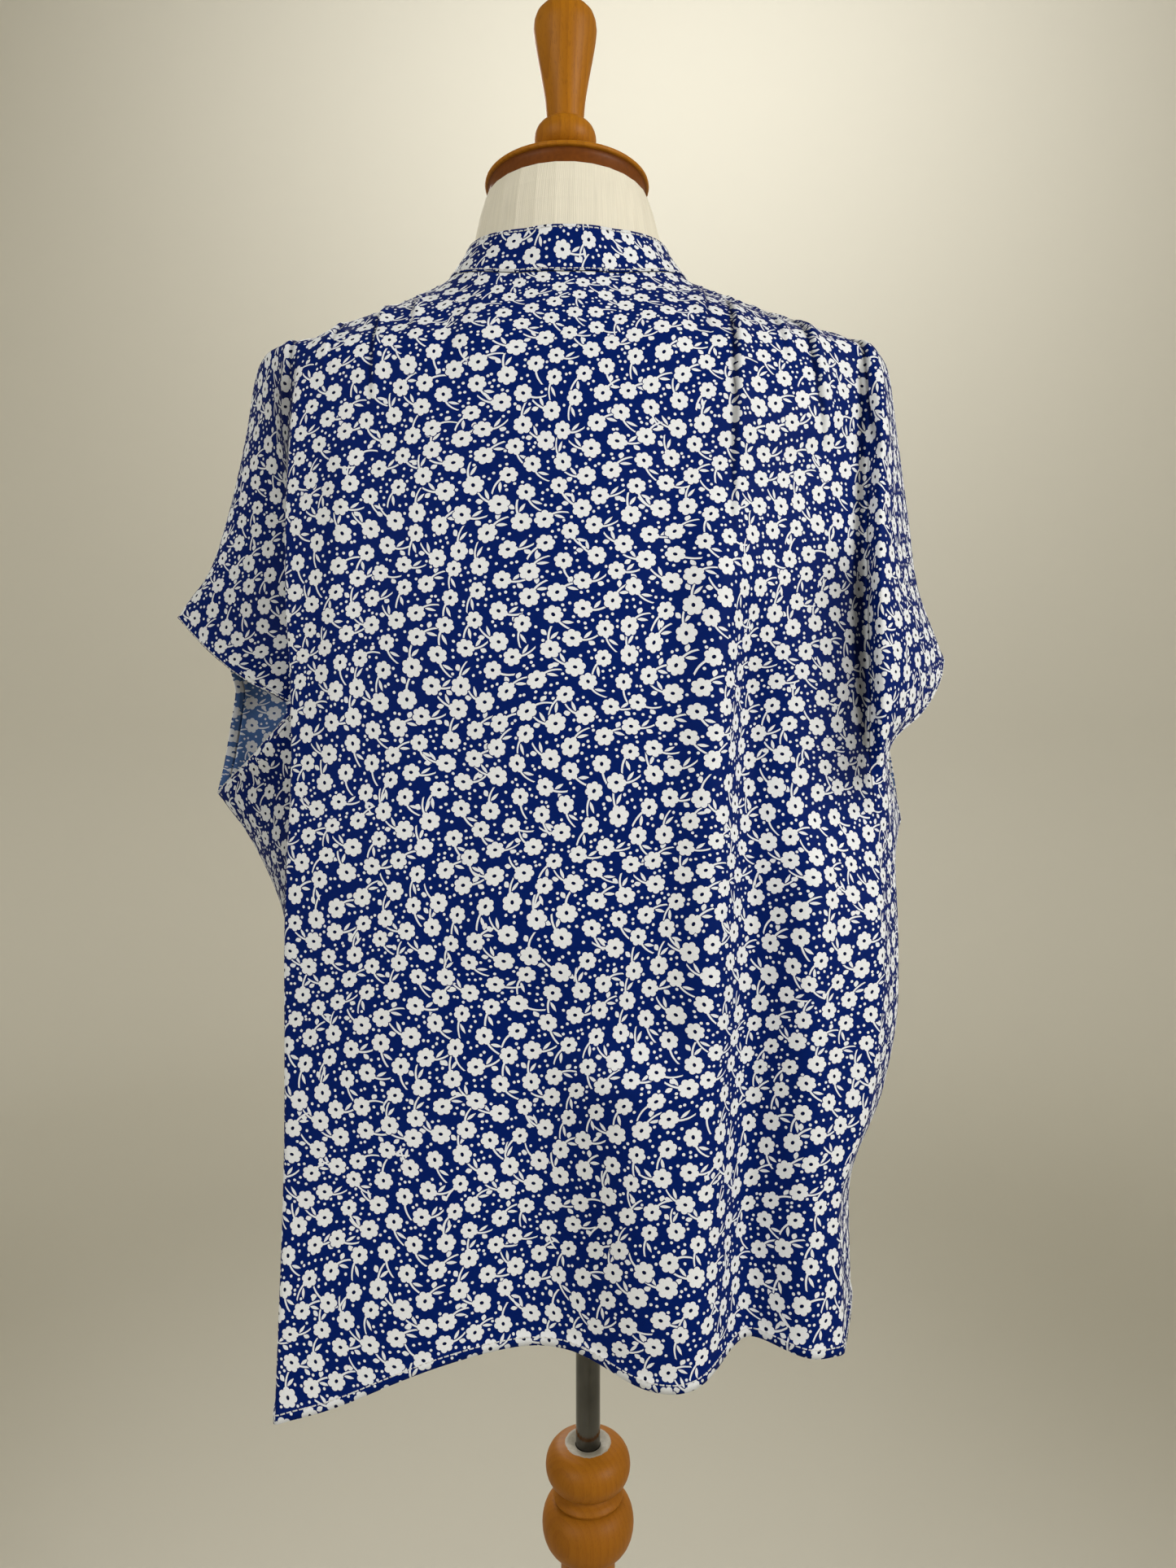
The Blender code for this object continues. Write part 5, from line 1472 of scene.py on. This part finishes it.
def collar_grid():
    """Outer face of the band collar, from its top edge down to the neckline."""
    angles = np.linspace(-COLLAR_END_ANGLE, COLLAR_END_ANGLE, COLLAR_COLUMNS)
    foot = neckline(angles)
    foot[:, 2] += COLLAR_FOOT_LIFT
    heights = np.array(COLLAR_HEIGHTS)
    x, y = neck_oval(angles, COLLAR_TOP_HALF_WIDTH, COLLAR_TOP_BACK, COLLAR_TOP_FRONT)
    rise = curve(heights[:, 0], heights[:, 1], abs(angles))
    top = np.stack([x, y, foot[:, 2] + rise], axis=-1)
    shares = np.linspace(0, 1, COLLAR_ROWS)[:, None, None]
    grid = top * (1 - shares) + foot * shares
    turn = np.radians(angles)
    slow = np.sin(turn * RIPPLE_WAVES[1])
    ripple = COLLAR_RIPPLE * np.sin(turn * RIPPLE_WAVES[0] + RIPPLE_START) * slow
    away = grid[..., :2] / np.linalg.norm(grid[..., :2], axis=-1)[..., None]
    grid[..., :2] += away * (ripple[None, :, None] * (1 - shares))
    grid[:-1] = clear_of_form(grid[:-1], WALL + REST)
    return leaned(grid)


collar_points = collar_grid()
collar = make_cloth("blouse_collar", collar_points, strip_map(collar_points, COLLAR_MAP_START), True)
yoke_points = {"left": yoke_grid(1, LEFT_TIP), "right": yoke_grid(-1, RIGHT_TIP)}
strips = [(collar, "collar", collar_points)]
for side, points in yoke_points.items():
    flat = strip_map(points, YOKE_MAP_START)
    yoke = make_cloth("blouse_yoke_" + side, points, flat, side == "right")
    strips.append((yoke, "yoke_" + side, points))
for piece, node, points in strips:
    flat = strip_map(points, (0, 0)).reshape(-1, 2)
    cut = tuple(float(c) for c in np.ptp(flat, axis=0))
    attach(piece, "root")
    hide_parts(node)
    print(piece.name, "cut", [round(c, 3) for c in cut], "m")

# %% [markdown]
# The hems are turned up and held by one line of white stitches, the collar is stitched along its
# top and its seam, and each stitch shows as a short raised thread. One stitch is modelled: a
# small cylinder, its ends drawn in and its middle raised. It is copied along every sewn line, and
# all copies of one line are joined, so a line of two hundred stitches is a single piece.

# %% One stitch
STITCH_LENGTH = 0.0025
STITCH_PITCH = 0.0034
STITCH_RADIUS = 0.00036
STITCH_TAPER = 0.5
STITCH_RISE = 0.6
THREAD_SIDES = 6


def model_stitch():
    """One stitch along X, lying on the ground plane."""
    bpy.ops.object.select_all(action="DESELECT")
    bpy.ops.mesh.primitive_cylinder_add(
        vertices=THREAD_SIDES, radius=STITCH_RADIUS, depth=STITCH_LENGTH,
        rotation=(0, math.pi / 2, 0))
    stitch = bpy.context.object
    bpy.ops.object.transform_apply(location=False, rotation=True, scale=True)
    bpy.ops.object.mode_set(mode="EDIT")
    mesh = bmesh.from_edit_mesh(stitch.data)
    ends = [face for face in mesh.faces if len(face.verts) == THREAD_SIDES]
    bpy.ops.mesh.select_all(action="DESELECT")
    for face in ends:
        face.select = True
    bmesh.update_edit_mesh(stitch.data)
    bpy.ops.mesh.inset(thickness=STITCH_RADIUS * STITCH_TAPER, use_individual=True)
    bpy.ops.mesh.select_all(action="SELECT")
    bpy.ops.mesh.bisect(plane_co=(0, 0, 0), plane_no=(1, 0, 0))
    bpy.ops.transform.translate(value=(0, 0, STITCH_RADIUS * STITCH_RISE))
    bpy.ops.object.mode_set(mode="OBJECT")
    return stitch


stitch = model_stitch()
stitch_points = np.array([v.co for v in stitch.data.vertices])
stitch_faces = [list(face.vertices) for face in stitch.data.polygons]
bpy.data.objects.remove(stitch)
print("a stitch has", len(stitch_faces), "faces")

# %% [markdown]
# A sewn line runs beside an edge at a fixed distance. It is found on the cloth's own points: from
# each point of the edge the line steps inward along the grid until that distance is covered.

# %% Sewn lines
HEM_LINE = 0.0045
COLLAR_LINE = 0.0016
SEAM_LINE = 0.0012
THREAD_TWIST_SCALE = 4000.0
THREAD_SHADE = (0.62, 0.62, 0.62)
THREAD_LIGHT = (0.80, 0.79, 0.76)
THREAD_BUMP = (0.3, 0.0001)


def line_beside_edge(grid, distance):
    """Points at a distance from the grid's last row, with the cloth's outward normals there."""
    steps = np.linalg.norm(np.diff(grid[::-1], axis=0), axis=-1)
    away = np.concatenate([np.zeros((1, grid.shape[1])), np.cumsum(steps, axis=0)])
    points, normals = [], []
    across = np.gradient(grid, axis=1)[::-1]
    down = np.gradient(grid, axis=0)[::-1]
    for column, gone in enumerate(away.T):
        upper = int(np.searchsorted(gone, distance))
        share = (distance - gone[upper - 1]) / (gone[upper] - gone[upper - 1])
        here, there = grid[::-1][upper - 1, column], grid[::-1][upper, column]
        points.append(here * (1 - share) + there * share)
        normal = np.cross(across[upper, column], down[upper, column])
        normals.append(normal / np.linalg.norm(normal))
    return np.array(points), np.array(normals)


def sewn_line(name, points, normals, outward):
    """Stitches along a line of points, raised from the cloth on its outward side."""
    steps = np.linalg.norm(np.diff(points, axis=0), axis=-1)
    gone = np.concatenate([[0], np.cumsum(steps)])
    starts = np.arange(STITCH_PITCH / 2, gone[-1] - STITCH_PITCH / 2, STITCH_PITCH)
    coordinates, faces = [], []
    for start in starts:
        ends = [np.array([np.interp(start + d, gone, points[:, k]) for k in range(3)])
                for d in (-STITCH_LENGTH / 2, STITCH_LENGTH / 2)]
        along = ends[1] - ends[0]
        along /= np.linalg.norm(along)
        up = np.array([np.interp(start, gone, normals[:, k]) for k in range(3)]) * outward
        up -= along * (up @ along)
        up /= np.linalg.norm(up)
        frame_axes = np.stack([along, np.cross(up, along), up])
        first = len(coordinates) * len(stitch_points)
        coordinates.append((ends[0] + ends[1]) / 2 + stitch_points @ frame_axes)
        faces += [[first + corner for corner in face] for face in stitch_faces]
    data = bpy.data.meshes.new(name)
    data.from_pydata(np.concatenate(coordinates).tolist(), [], faces)
    data.shade_smooth()
    line = bpy.data.objects.new(name, data)
    scene.collection.objects.link(line)
    data.materials.append(thread)
    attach(line, "root")
    return len(starts)


def thread_material():
    """White cotton thread with a slight twist."""
    made, n, shader = new_finish("thread")
    twist = n.noise(n.node("ShaderNodeTexCoord").outputs["Object"], THREAD_TWIST_SCALE, 1.0)["Fac"]
    n.feed(shader.inputs["Base Color"], n.mix(twist, (*THREAD_SHADE, 1), (*THREAD_LIGHT, 1)))
    n.bump(shader, twist, *THREAD_BUMP)
    shader.inputs["Roughness"].default_value = 0.6
    return made


thread = thread_material()
sewn = {}
for name, grid, outward in (("back", back_points, 1), ("front", front_points, -1)):
    points, normals = line_beside_edge(grid, HEM_LINE)
    facing = math.copysign(1, normals[len(normals) // 2][1] * outward)
    sewn[name + "_hem"] = sewn_line("stitches_" + name + "_hem", points, normals, facing)
    for side, edge in (("left", grid), ("right", grid[:, ::-1])):
        points, normals = line_beside_edge(np.swapaxes(edge, 0, 1), HEM_LINE)
        points, normals = points[cuff_span()], normals[cuff_span()]
        facing = math.copysign(1, normals[len(normals) // 2][1] * outward)
        label = name + "_cuff_" + side
        sewn[label] = sewn_line("stitches_" + label, points, normals, facing)
for label, grid, distance in (
    ("collar_top", collar_points[::-1], COLLAR_LINE), ("collar_seam", collar_points, SEAM_LINE),
):
    points, normals = line_beside_edge(grid, distance)
    facing = math.copysign(1, normals[len(normals) // 2][1])
    sewn[label] = sewn_line("stitches_" + label, points, normals, facing)
print("stitches:", sewn)

# %% [markdown]
# The form is padded and covered in a fine natural cloth, tight over the neck. Its shape comes
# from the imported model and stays; only its finish is made here. The threads run up the neck, so
# the weave is drawn on the angle round the form and the height, and thicker threads stand out.

# %% Weave
THREAD_SPACING = 0.00075
NECK_RADIUS = 0.055
CROSSING_HEIGHT = 0.35
WARP_HEIGHT = 0.5
STREAK_HEIGHT = 1.4
STREAKS_UP = 30.0
STREAK_SCALE = 0.9
STREAK_CONTRAST = 0.22
STREAK_TONE = 0.84
SPOT_SCALE = 38.0
SPOT_CONTRAST = 0.12
SPOT_TONE = 0.94


def weave_group():
    """Plain weave round an upright axis: height of the threads and their uneven tone."""
    group, n, given, out = new_group("weave", ("Place",), ("Height", "Tone"))
    x, y, z = n.split(given.outputs["Place"])
    around = n.sum("MULTIPLY", n.sum("ARCTAN2", y, x), NECK_RADIUS / THREAD_SPACING)
    upward = n.sum("DIVIDE", z, THREAD_SPACING)
    warp = n.sum("SINE", n.sum("MULTIPLY", around, math.tau))
    weft = n.sum("SINE", n.sum("MULTIPLY", upward, math.tau))
    height = n.sum("MULTIPLY_ADD", n.sum("MULTIPLY", warp, weft), CROSSING_HEIGHT,
                   n.sum("MULTIPLY", warp, WARP_HEIGHT))
    drawn_out = n.join(around, n.sum("MULTIPLY", z, STREAKS_UP))
    streaks = n.noise(drawn_out, STREAK_SCALE, 3.0, "2D")["Fac"]
    spots = n.noise(given.outputs["Place"], SPOT_SCALE, 3.0)["Fac"]
    n.feed(out.inputs["Height"], n.sum("MULTIPLY_ADD", streaks, STREAK_HEIGHT, height))
    tone = n.sum("MULTIPLY_ADD", streaks, STREAK_CONTRAST, STREAK_TONE)
    spot_tone = n.sum("MULTIPLY_ADD", spots, SPOT_CONTRAST, SPOT_TONE)
    n.feed(out.inputs["Tone"], n.sum("MULTIPLY", tone, spot_tone))
    return group


weave = weave_group()
print("threads", THREAD_SPACING * 1000, "mm apart on the neck")

# %% Cover of the form
LINEN = (0.83, 0.775, 0.635)
TAPE = (0.46, 0.44, 0.37)
WEAVE_DEPTH = 0.0003


def woven_material(name, colour, roughness, bump_strength):
    """A finish of plain-woven threads."""
    made, n, shader = new_finish(name)
    woven = n.place_group(weave, Place=n.node("ShaderNodeTexCoord").outputs["Object"])
    n.feed(shader.inputs["Base Color"], n.scaled(colour, woven["Tone"]))
    n.bump(shader, woven["Height"], bump_strength, WEAVE_DEPTH)
    shader.inputs["Roughness"].default_value = roughness
    shader.inputs["Specular IOR Level"].default_value = 0.2
    return made


def dress_node(node, finish):
    """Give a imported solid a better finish."""
    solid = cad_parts[node]
    solid.data.materials.clear()
    solid.data.materials.append(finish)


dress_node("form_torso", woven_material("form_cover", LINEN, 0.9, 0.35))
dress_node("form_tape", woven_material("tape", TAPE, 0.85, 0.6))
print("dressed form_torso and form_tape")

# %% [markdown]
# The wooden pieces were turned on a lathe, and they are made here in the same way: one outline
# from the axis out to the surface is drawn point by point and spun about the upright axis. The
# outlines are those of the solids, with finer arcs and the small steps a chisel leaves. Only the
# finial is a few millimetres lower than its solid, as it is on the real form.

# %% Lathe
LATHE_STEPS = 72
CROWN_STEPS = 14
START_PLANE = 0.001
SOFT_EDGE_DEGREES = 38


def turn_on_lathe(name, outline, axis_x, finish, node):
    """A solid of revolution from (radius, height) points, drawn from top to bottom."""
    bpy.ops.object.select_all(action="DESELECT")
    bpy.ops.mesh.primitive_plane_add(size=START_PLANE)
    piece = bpy.context.object
    piece.name = name
    bpy.ops.object.mode_set(mode="EDIT")
    bpy.ops.mesh.select_all(action="SELECT")
    bpy.ops.mesh.merge(type="CENTER")
    start = Vector((axis_x + outline[0][0], 0, outline[0][1]))
    bpy.ops.transform.translate(value=start)
    for (radius, z), (next_radius, next_z) in zip(outline, outline[1:]):
        step = (next_radius - radius, 0, next_z - z)
        bpy.ops.mesh.extrude_region_move(TRANSFORM_OT_translate={"value": step})
    bpy.ops.mesh.select_all(action="SELECT")
    bpy.ops.mesh.spin(steps=LATHE_STEPS, angle=math.tau, center=(axis_x, 0, 0), axis=(0, 0, 1))
    bpy.ops.mesh.select_all(action="SELECT")
    bpy.ops.mesh.remove_doubles(threshold=1e-6)
    bpy.ops.mesh.normals_make_consistent(inside=False)
    bpy.ops.object.mode_set(mode="OBJECT")
    bpy.ops.object.shade_smooth_by_angle(angle=math.radians(SOFT_EDGE_DEGREES))
    piece.data.materials.append(finish)
    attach(piece, "root")
    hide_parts(node)
    print(name, "has", len(piece.data.polygons), "faces")


def crown(radius, foot, z_top, z_bottom):
    """Outline of a turned ball or bead between two heights."""
    turns = np.linspace(0, math.pi, CROWN_STEPS + 1)
    middle, half = (z_top + z_bottom) / 2, (z_top - z_bottom) / 2
    return [(foot + (radius - foot) * math.sin(t), middle + half * math.cos(t)) for t in turns]


def eased(points, steps=5):
    """An outline through a few points, rounded by a smooth curve down its height."""
    table = np.array(points)[::-1]
    heights = np.linspace(table[0, 1], table[-1, 1], steps * (len(points) - 1) + 1)
    radii = curve(table[:, 1], table[:, 0], heights)
    return list(zip(radii[::-1], heights[::-1]))


def form_axis(z):
    """Sideways place of the leaning form's axis at a height."""
    return LEAN * (z - POST_TOP)


print("the form's axis leans", round(1000 * form_axis(FORM_TOP), 1), "mm sideways at the neck's top")

# %% [markdown]
# Turned wood shows the tree's growth layers as nested curves wherever the shape swells. Real
# layers are thin shells round the tree's middle, so the finish measures the distance from a line
# beside the piece, bends it with slow noise, and colours it in bands. Fine dark pores run along
# the grain, and the varnish leaves a soft shine.

# %% Growth layers
LAYER_SPACING = 0.0042
LAYER_BEND = 0.010
BEND_SCALE = 34.0
LAYER_EDGE = 2.2
PORE_SCALE = 1500.0
PORE_SHARE = 0.60
WOOD_PATCH_SCALE = 26.0
# How fast each pattern changes along the grain, beside 1 across it
BEND_ALONG = (1, 1, 0.28)
LAYERS_ALONG = (1, 1, 0.09)
PORES_ALONG = (1, 1, 0.045)


def growth_group():
    """Growth layers, pores and slow patches of a piece of wood."""
    group, n, given, out = new_group(
        "growth_layers", ("Place", "Heart side"), ("Layers", "Pores", "Patches"))
    place = given.outputs["Place"]
    bend = n.noise(n.vector("MULTIPLY", place, BEND_ALONG), BEND_SCALE)["Fac"]
    away = n.vector("SUBTRACT", place, given.outputs["Heart side"])
    away = n.vector("LENGTH", n.vector("MULTIPLY", away, LAYERS_ALONG))
    distance = n.sum("MULTIPLY_ADD", bend, LAYER_BEND, away)
    share = n.sum("FRACT", n.sum("DIVIDE", distance, LAYER_SPACING))
    pores = n.noise(n.vector("MULTIPLY", place, PORES_ALONG), PORE_SCALE)["Fac"]
    patches = n.noise(place, WOOD_PATCH_SCALE)["Fac"]
    n.feed(out.inputs["Layers"], n.sum("POWER", share, LAYER_EDGE))
    n.feed(out.inputs["Pores"], n.sum("GREATER_THAN", pores, PORE_SHARE))
    n.feed(out.inputs["Patches"], patches)
    return group


growth = growth_group()
print("growth layers", LAYER_SPACING * 1000, "mm apart")

# %% [markdown]
# Two places on the wood are darker or duller than the rest: the drawn-in band under the cap's
# lip, which is painted shade, and the ring of filler round the pole. Each is a mask between two
# heights and inside a radius, with a ragged edge, laid over the grain before the varnish.

# %% Wood finish
LAYER_CONTRAST = 0.36
WOOD_PATCH_CONTRAST = 0.45
PORE_CONTRAST = 0.22
PORE_TONE = 0.45
RAGGED_SCALE = 420.0
RAGGED_EDGE = 0.0016
RAGGED_MIDDLE = 0.0008
# darkens the ragged parts of a band: dust on the filler ring, painted shade in the cap's band
DUST_AND_SHADE_TONE = 0.55
GRAIN_BUMP = (0.12, 0.0003)
VARNISH_GLOSS = 0.16
VARNISH_ROUGHNESS = 0.40
Band = namedtuple("Band", "low high radius axis_x tone")


def band_mask(n, place, band):
    """A worn band, or a band of painted shade: its mask and its uneven colour."""
    x, y, z = n.split(place)
    reach = n.vector("LENGTH", n.join(n.sum("SUBTRACT", x, band.axis_x), y))
    ragged = n.noise(place, RAGGED_SCALE)["Fac"]
    edge = n.sum("MULTIPLY_ADD", ragged, RAGGED_EDGE, reach)
    within = n.sum("MULTIPLY", n.sum("GREATER_THAN", z, band.low), n.sum("LESS_THAN", z, band.high))
    inside = n.sum("MULTIPLY", n.sum("LESS_THAN", edge, band.radius + RAGGED_MIDDLE), within)
    dark = [c * DUST_AND_SHADE_TONE for c in band.tone]
    return inside, n.mix(ragged, (*dark, 1), (*band.tone, 1))


def wood_material(name, light, dark, heart_side, band=None):
    """Varnished wood, with a band of another tone where one is given."""
    made, n, shader = new_finish(name)
    place = n.node("ShaderNodeTexCoord").outputs["Object"]
    grain = n.place_group(growth, Place=place, Heart_side=heart_side)
    share = n.sum("MULTIPLY_ADD", grain["Layers"], LAYER_CONTRAST,
                  n.sum("MULTIPLY", grain["Patches"], WOOD_PATCH_CONTRAST))
    colour = n.mix(share, (*light, 1), (*dark, 1))
    pore = [c * PORE_TONE for c in dark]
    colour = n.mix(n.sum("MULTIPLY", grain["Pores"], PORE_CONTRAST), colour, (*pore, 1))
    if band is not None:
        inside, tone = band_mask(n, place, band)
        colour = n.mix(inside, colour, tone)
    n.feed(shader.inputs["Base Color"], colour)
    n.bump(shader, n.sum("SUBTRACT", 0.0, share), *GRAIN_BUMP)
    rough = n.sum("MULTIPLY_ADD", grain["Patches"], VARNISH_GLOSS, VARNISH_ROUGHNESS)
    n.feed(shader.inputs["Roughness"], rough)
    shader.inputs["Specular IOR Level"].default_value = 0.14
    return made


HONEY = (0.440, 0.165, 0.006)
OAK = (0.350, 0.128, 0.008)
AMBER = (0.250, 0.080, 0.005)
# painted shade: the colour of the drawn-in band under the cap's lip
CAP_SHADE = (0.190, 0.052, 0.005)
PUTTY = (0.46, 0.42, 0.34)
print("wood from", HONEY, "to", AMBER)

# %% [markdown]
# On top of the neck lies a wooden disc with a thin lip over a drawn-in band, painted darker as
# the shade under the lip. The finial stands on it: a low foot, a flattened ball and a handle that
# flares to its rounded end.

# %% Neck cap
CAP_BAND_TOP = 1.4957
# painted shade under the cap's lip
CAP_BAND = Band(1.40, CAP_BAND_TOP, 0.06, 0.013, CAP_SHADE)
cap_outline = [(0, 1.5009), (0.0160, 1.5009), (0.0300, 1.5004), (0.0420, 1.4996)]
cap_outline += [(0.0474, 1.4992), (0.0497, 1.4988), (0.0506, 1.4980), (0.0508, 1.4972)]
cap_outline += [(0.0506, 1.4964), (0.0500, 1.4959), (0.0490, CAP_BAND_TOP), (0.0484, 1.4950)]
cap_outline += [(0.0483, 1.4930), (0.0487, 1.4900), (0.0493, 1.4870), (0.0490, 1.4868), (0, 1.4868)]
cap_wood = wood_material("cap_wood", HONEY, AMBER, (0.09, -0.05, 1.46), CAP_BAND)
turn_on_lathe("turned_neck_cap", cap_outline, form_axis(FORM_TOP), cap_wood, "neck_cap")

# %% Finial
FINIAL_MIDDLE = 1.55
finial_outline = [(0, 1.6070), (0.0040, 1.6069), (0.0087, 1.6063), (0.0123, 1.6051)]
finial_outline += [(0.0154, 1.6031), (0.0177, 1.6005), (0.0190, 1.5970)]
finial_outline += eased([(0.0195, 1.5925), (0.0190, 1.5875), (0.0174, 1.5780), (0.0147, 1.5640),
                         (0.0124, 1.5500), (0.0114, 1.5385)])
finial_outline += [(0.0112, 1.5368), (0.0113, 1.5360)]
finial_outline += crown(0.0192, 0.0117, 1.5358, 1.5168)
finial_outline += [(0.0126, 1.5158), (0.0146, 1.5112), (0.0155, 1.5080), (0.0156, 1.5020)]
finial_outline += [(0, 1.5018)]
finial_wood = wood_material("finial_wood", HONEY, AMBER, (0.055, 0.030, FINIAL_MIDDLE))
turn_on_lathe("turned_finial", finial_outline, form_axis(FINIAL_MIDDLE), finial_wood, "finial")

# %% [markdown]
# The post begins with two flattened balls and a collar between them. The photo ends below the
# second ball, so the shaft, the beads over the foot and the round foot itself are plain turning.
# A ring of old filler shows round the steel pole.

# %% Post
FILLER_RING = Band(0.690, 0.700, 0.0150, 0.0, PUTTY)
post_outline = [(0, 0.6770), (0.0084, 0.6770), (0.0084, 0.6952), (0.0104, 0.6958)]
post_outline += [(0.0130, 0.6966), (0.0146, 0.6968), (0.0158, 0.6962)]
post_outline += crown(0.0277, 0.0168, 0.6958, 0.6690)[1:]
post_outline += [(0.0172, 0.6680), (0.0205, 0.6660), (0.0224, 0.6645), (0.0231, 0.6628)]
post_outline += [(0.0224, 0.6612)]
post_outline += crown(0.0300, 0.0196, 0.6604, 0.6270)
post_outline += [(0.0185, 0.6255), (0.0180, 0.6235)]
post_outline += eased([(0.0178, 0.6220), (0.0176, 0.5900), (0.0186, 0.5200), (0.0205, 0.4200),
                       (0.0215, 0.2900), (0.0208, 0.2000), (0.0200, 0.1500)], 6)
post_outline += crown(0.0290, 0.0200, 0.1450, 0.1150)
post_outline += [(0.0212, 0.1130), (0.0205, 0.1080)]
post_outline += eased([(0.0208, 0.1060), (0.0225, 0.0850), (0.0270, 0.0620), (0.0330, 0.0480)], 5)
post_outline += [(0.0352, 0.0462), (0.0358, 0.0440)]
post_outline += eased([(0.0362, 0.0430), (0.0380, 0.0350), (0.0380, 0.0243)], 4)
post_outline += [(0, 0.0243)]
post_wood = wood_material("post_wood", OAK, AMBER, (0.045, 0.060, 0.60), FILLER_RING)
turn_on_lathe("turned_post", post_outline, 0.0, post_wood, "post")

# %% Base
BASE_EDGE_STEPS = 9
BASE_EDGE = 0.0130
base_outline = [(0, 0.0240), (0.0600, 0.0240), (0.0620, 0.0238), (0.0635, 0.0232)]
base_outline += eased([(0.0700, 0.0230), (0.1000, 0.0226), (0.1350, 0.0216), (0.1600, 0.0194)], 4)
for i in range(1, BASE_EDGE_STEPS + 1):
    turn = math.pi / 2 * i / BASE_EDGE_STEPS
    base_outline.append((0.1620 + BASE_EDGE * math.sin(turn), 0.0060 + BASE_EDGE * math.cos(turn)))
base_outline += [(0.1750, 0.0030), (0.1742, 0.0012), (0.1720, 0.0000), (0, 0.0000)]
base_wood = wood_material("base_wood", OAK, AMBER, (0.02, 0.40, 0.60))
turn_on_lathe("turned_base", base_outline, 0.0, base_wood, "base")

# %% [markdown]
# The pole is polished steel tube. Its shape is the imported solid's; the finish adds the faint
# lengthwise streaks of drawn tube and the dull marks of handling. The steel's colour is kept
# dark as a painted reflection: it stands for the dark room that the real pole mirrors.

# %% Pole
# painted reflection: the steel is coloured dark for the dark room it would mirror
STEEL_DARK = (0.09, 0.088, 0.082)
STEEL_LIGHT = (0.17, 0.167, 0.158)
DRAWN_ALONG = (1, 1, 0.02)
DRAWN_SCALE = 900.0
SMEAR_SCALE = 60.0
DRAWN_ROUGHNESS = 0.10
SMEAR_ROUGHNESS = 0.14


def steel_material():
    """Polished steel tube with faint streaks along it."""
    made, n, shader = new_finish("pole_steel")
    place = n.node("ShaderNodeTexCoord").outputs["Object"]
    streaks = n.noise(n.vector("MULTIPLY", place, DRAWN_ALONG), DRAWN_SCALE)["Fac"]
    smears = n.noise(place, SMEAR_SCALE)["Fac"]
    n.feed(shader.inputs["Base Color"], n.mix(smears, (*STEEL_DARK, 1), (*STEEL_LIGHT, 1)))
    rough = n.sum("MULTIPLY_ADD", streaks, DRAWN_ROUGHNESS,
                  n.sum("MULTIPLY", smears, SMEAR_ROUGHNESS))
    n.feed(shader.inputs["Roughness"], rough)
    shader.inputs["Metallic"].default_value = 1.0
    return made


dress_node("pole", steel_material())
print("dressed the pole")
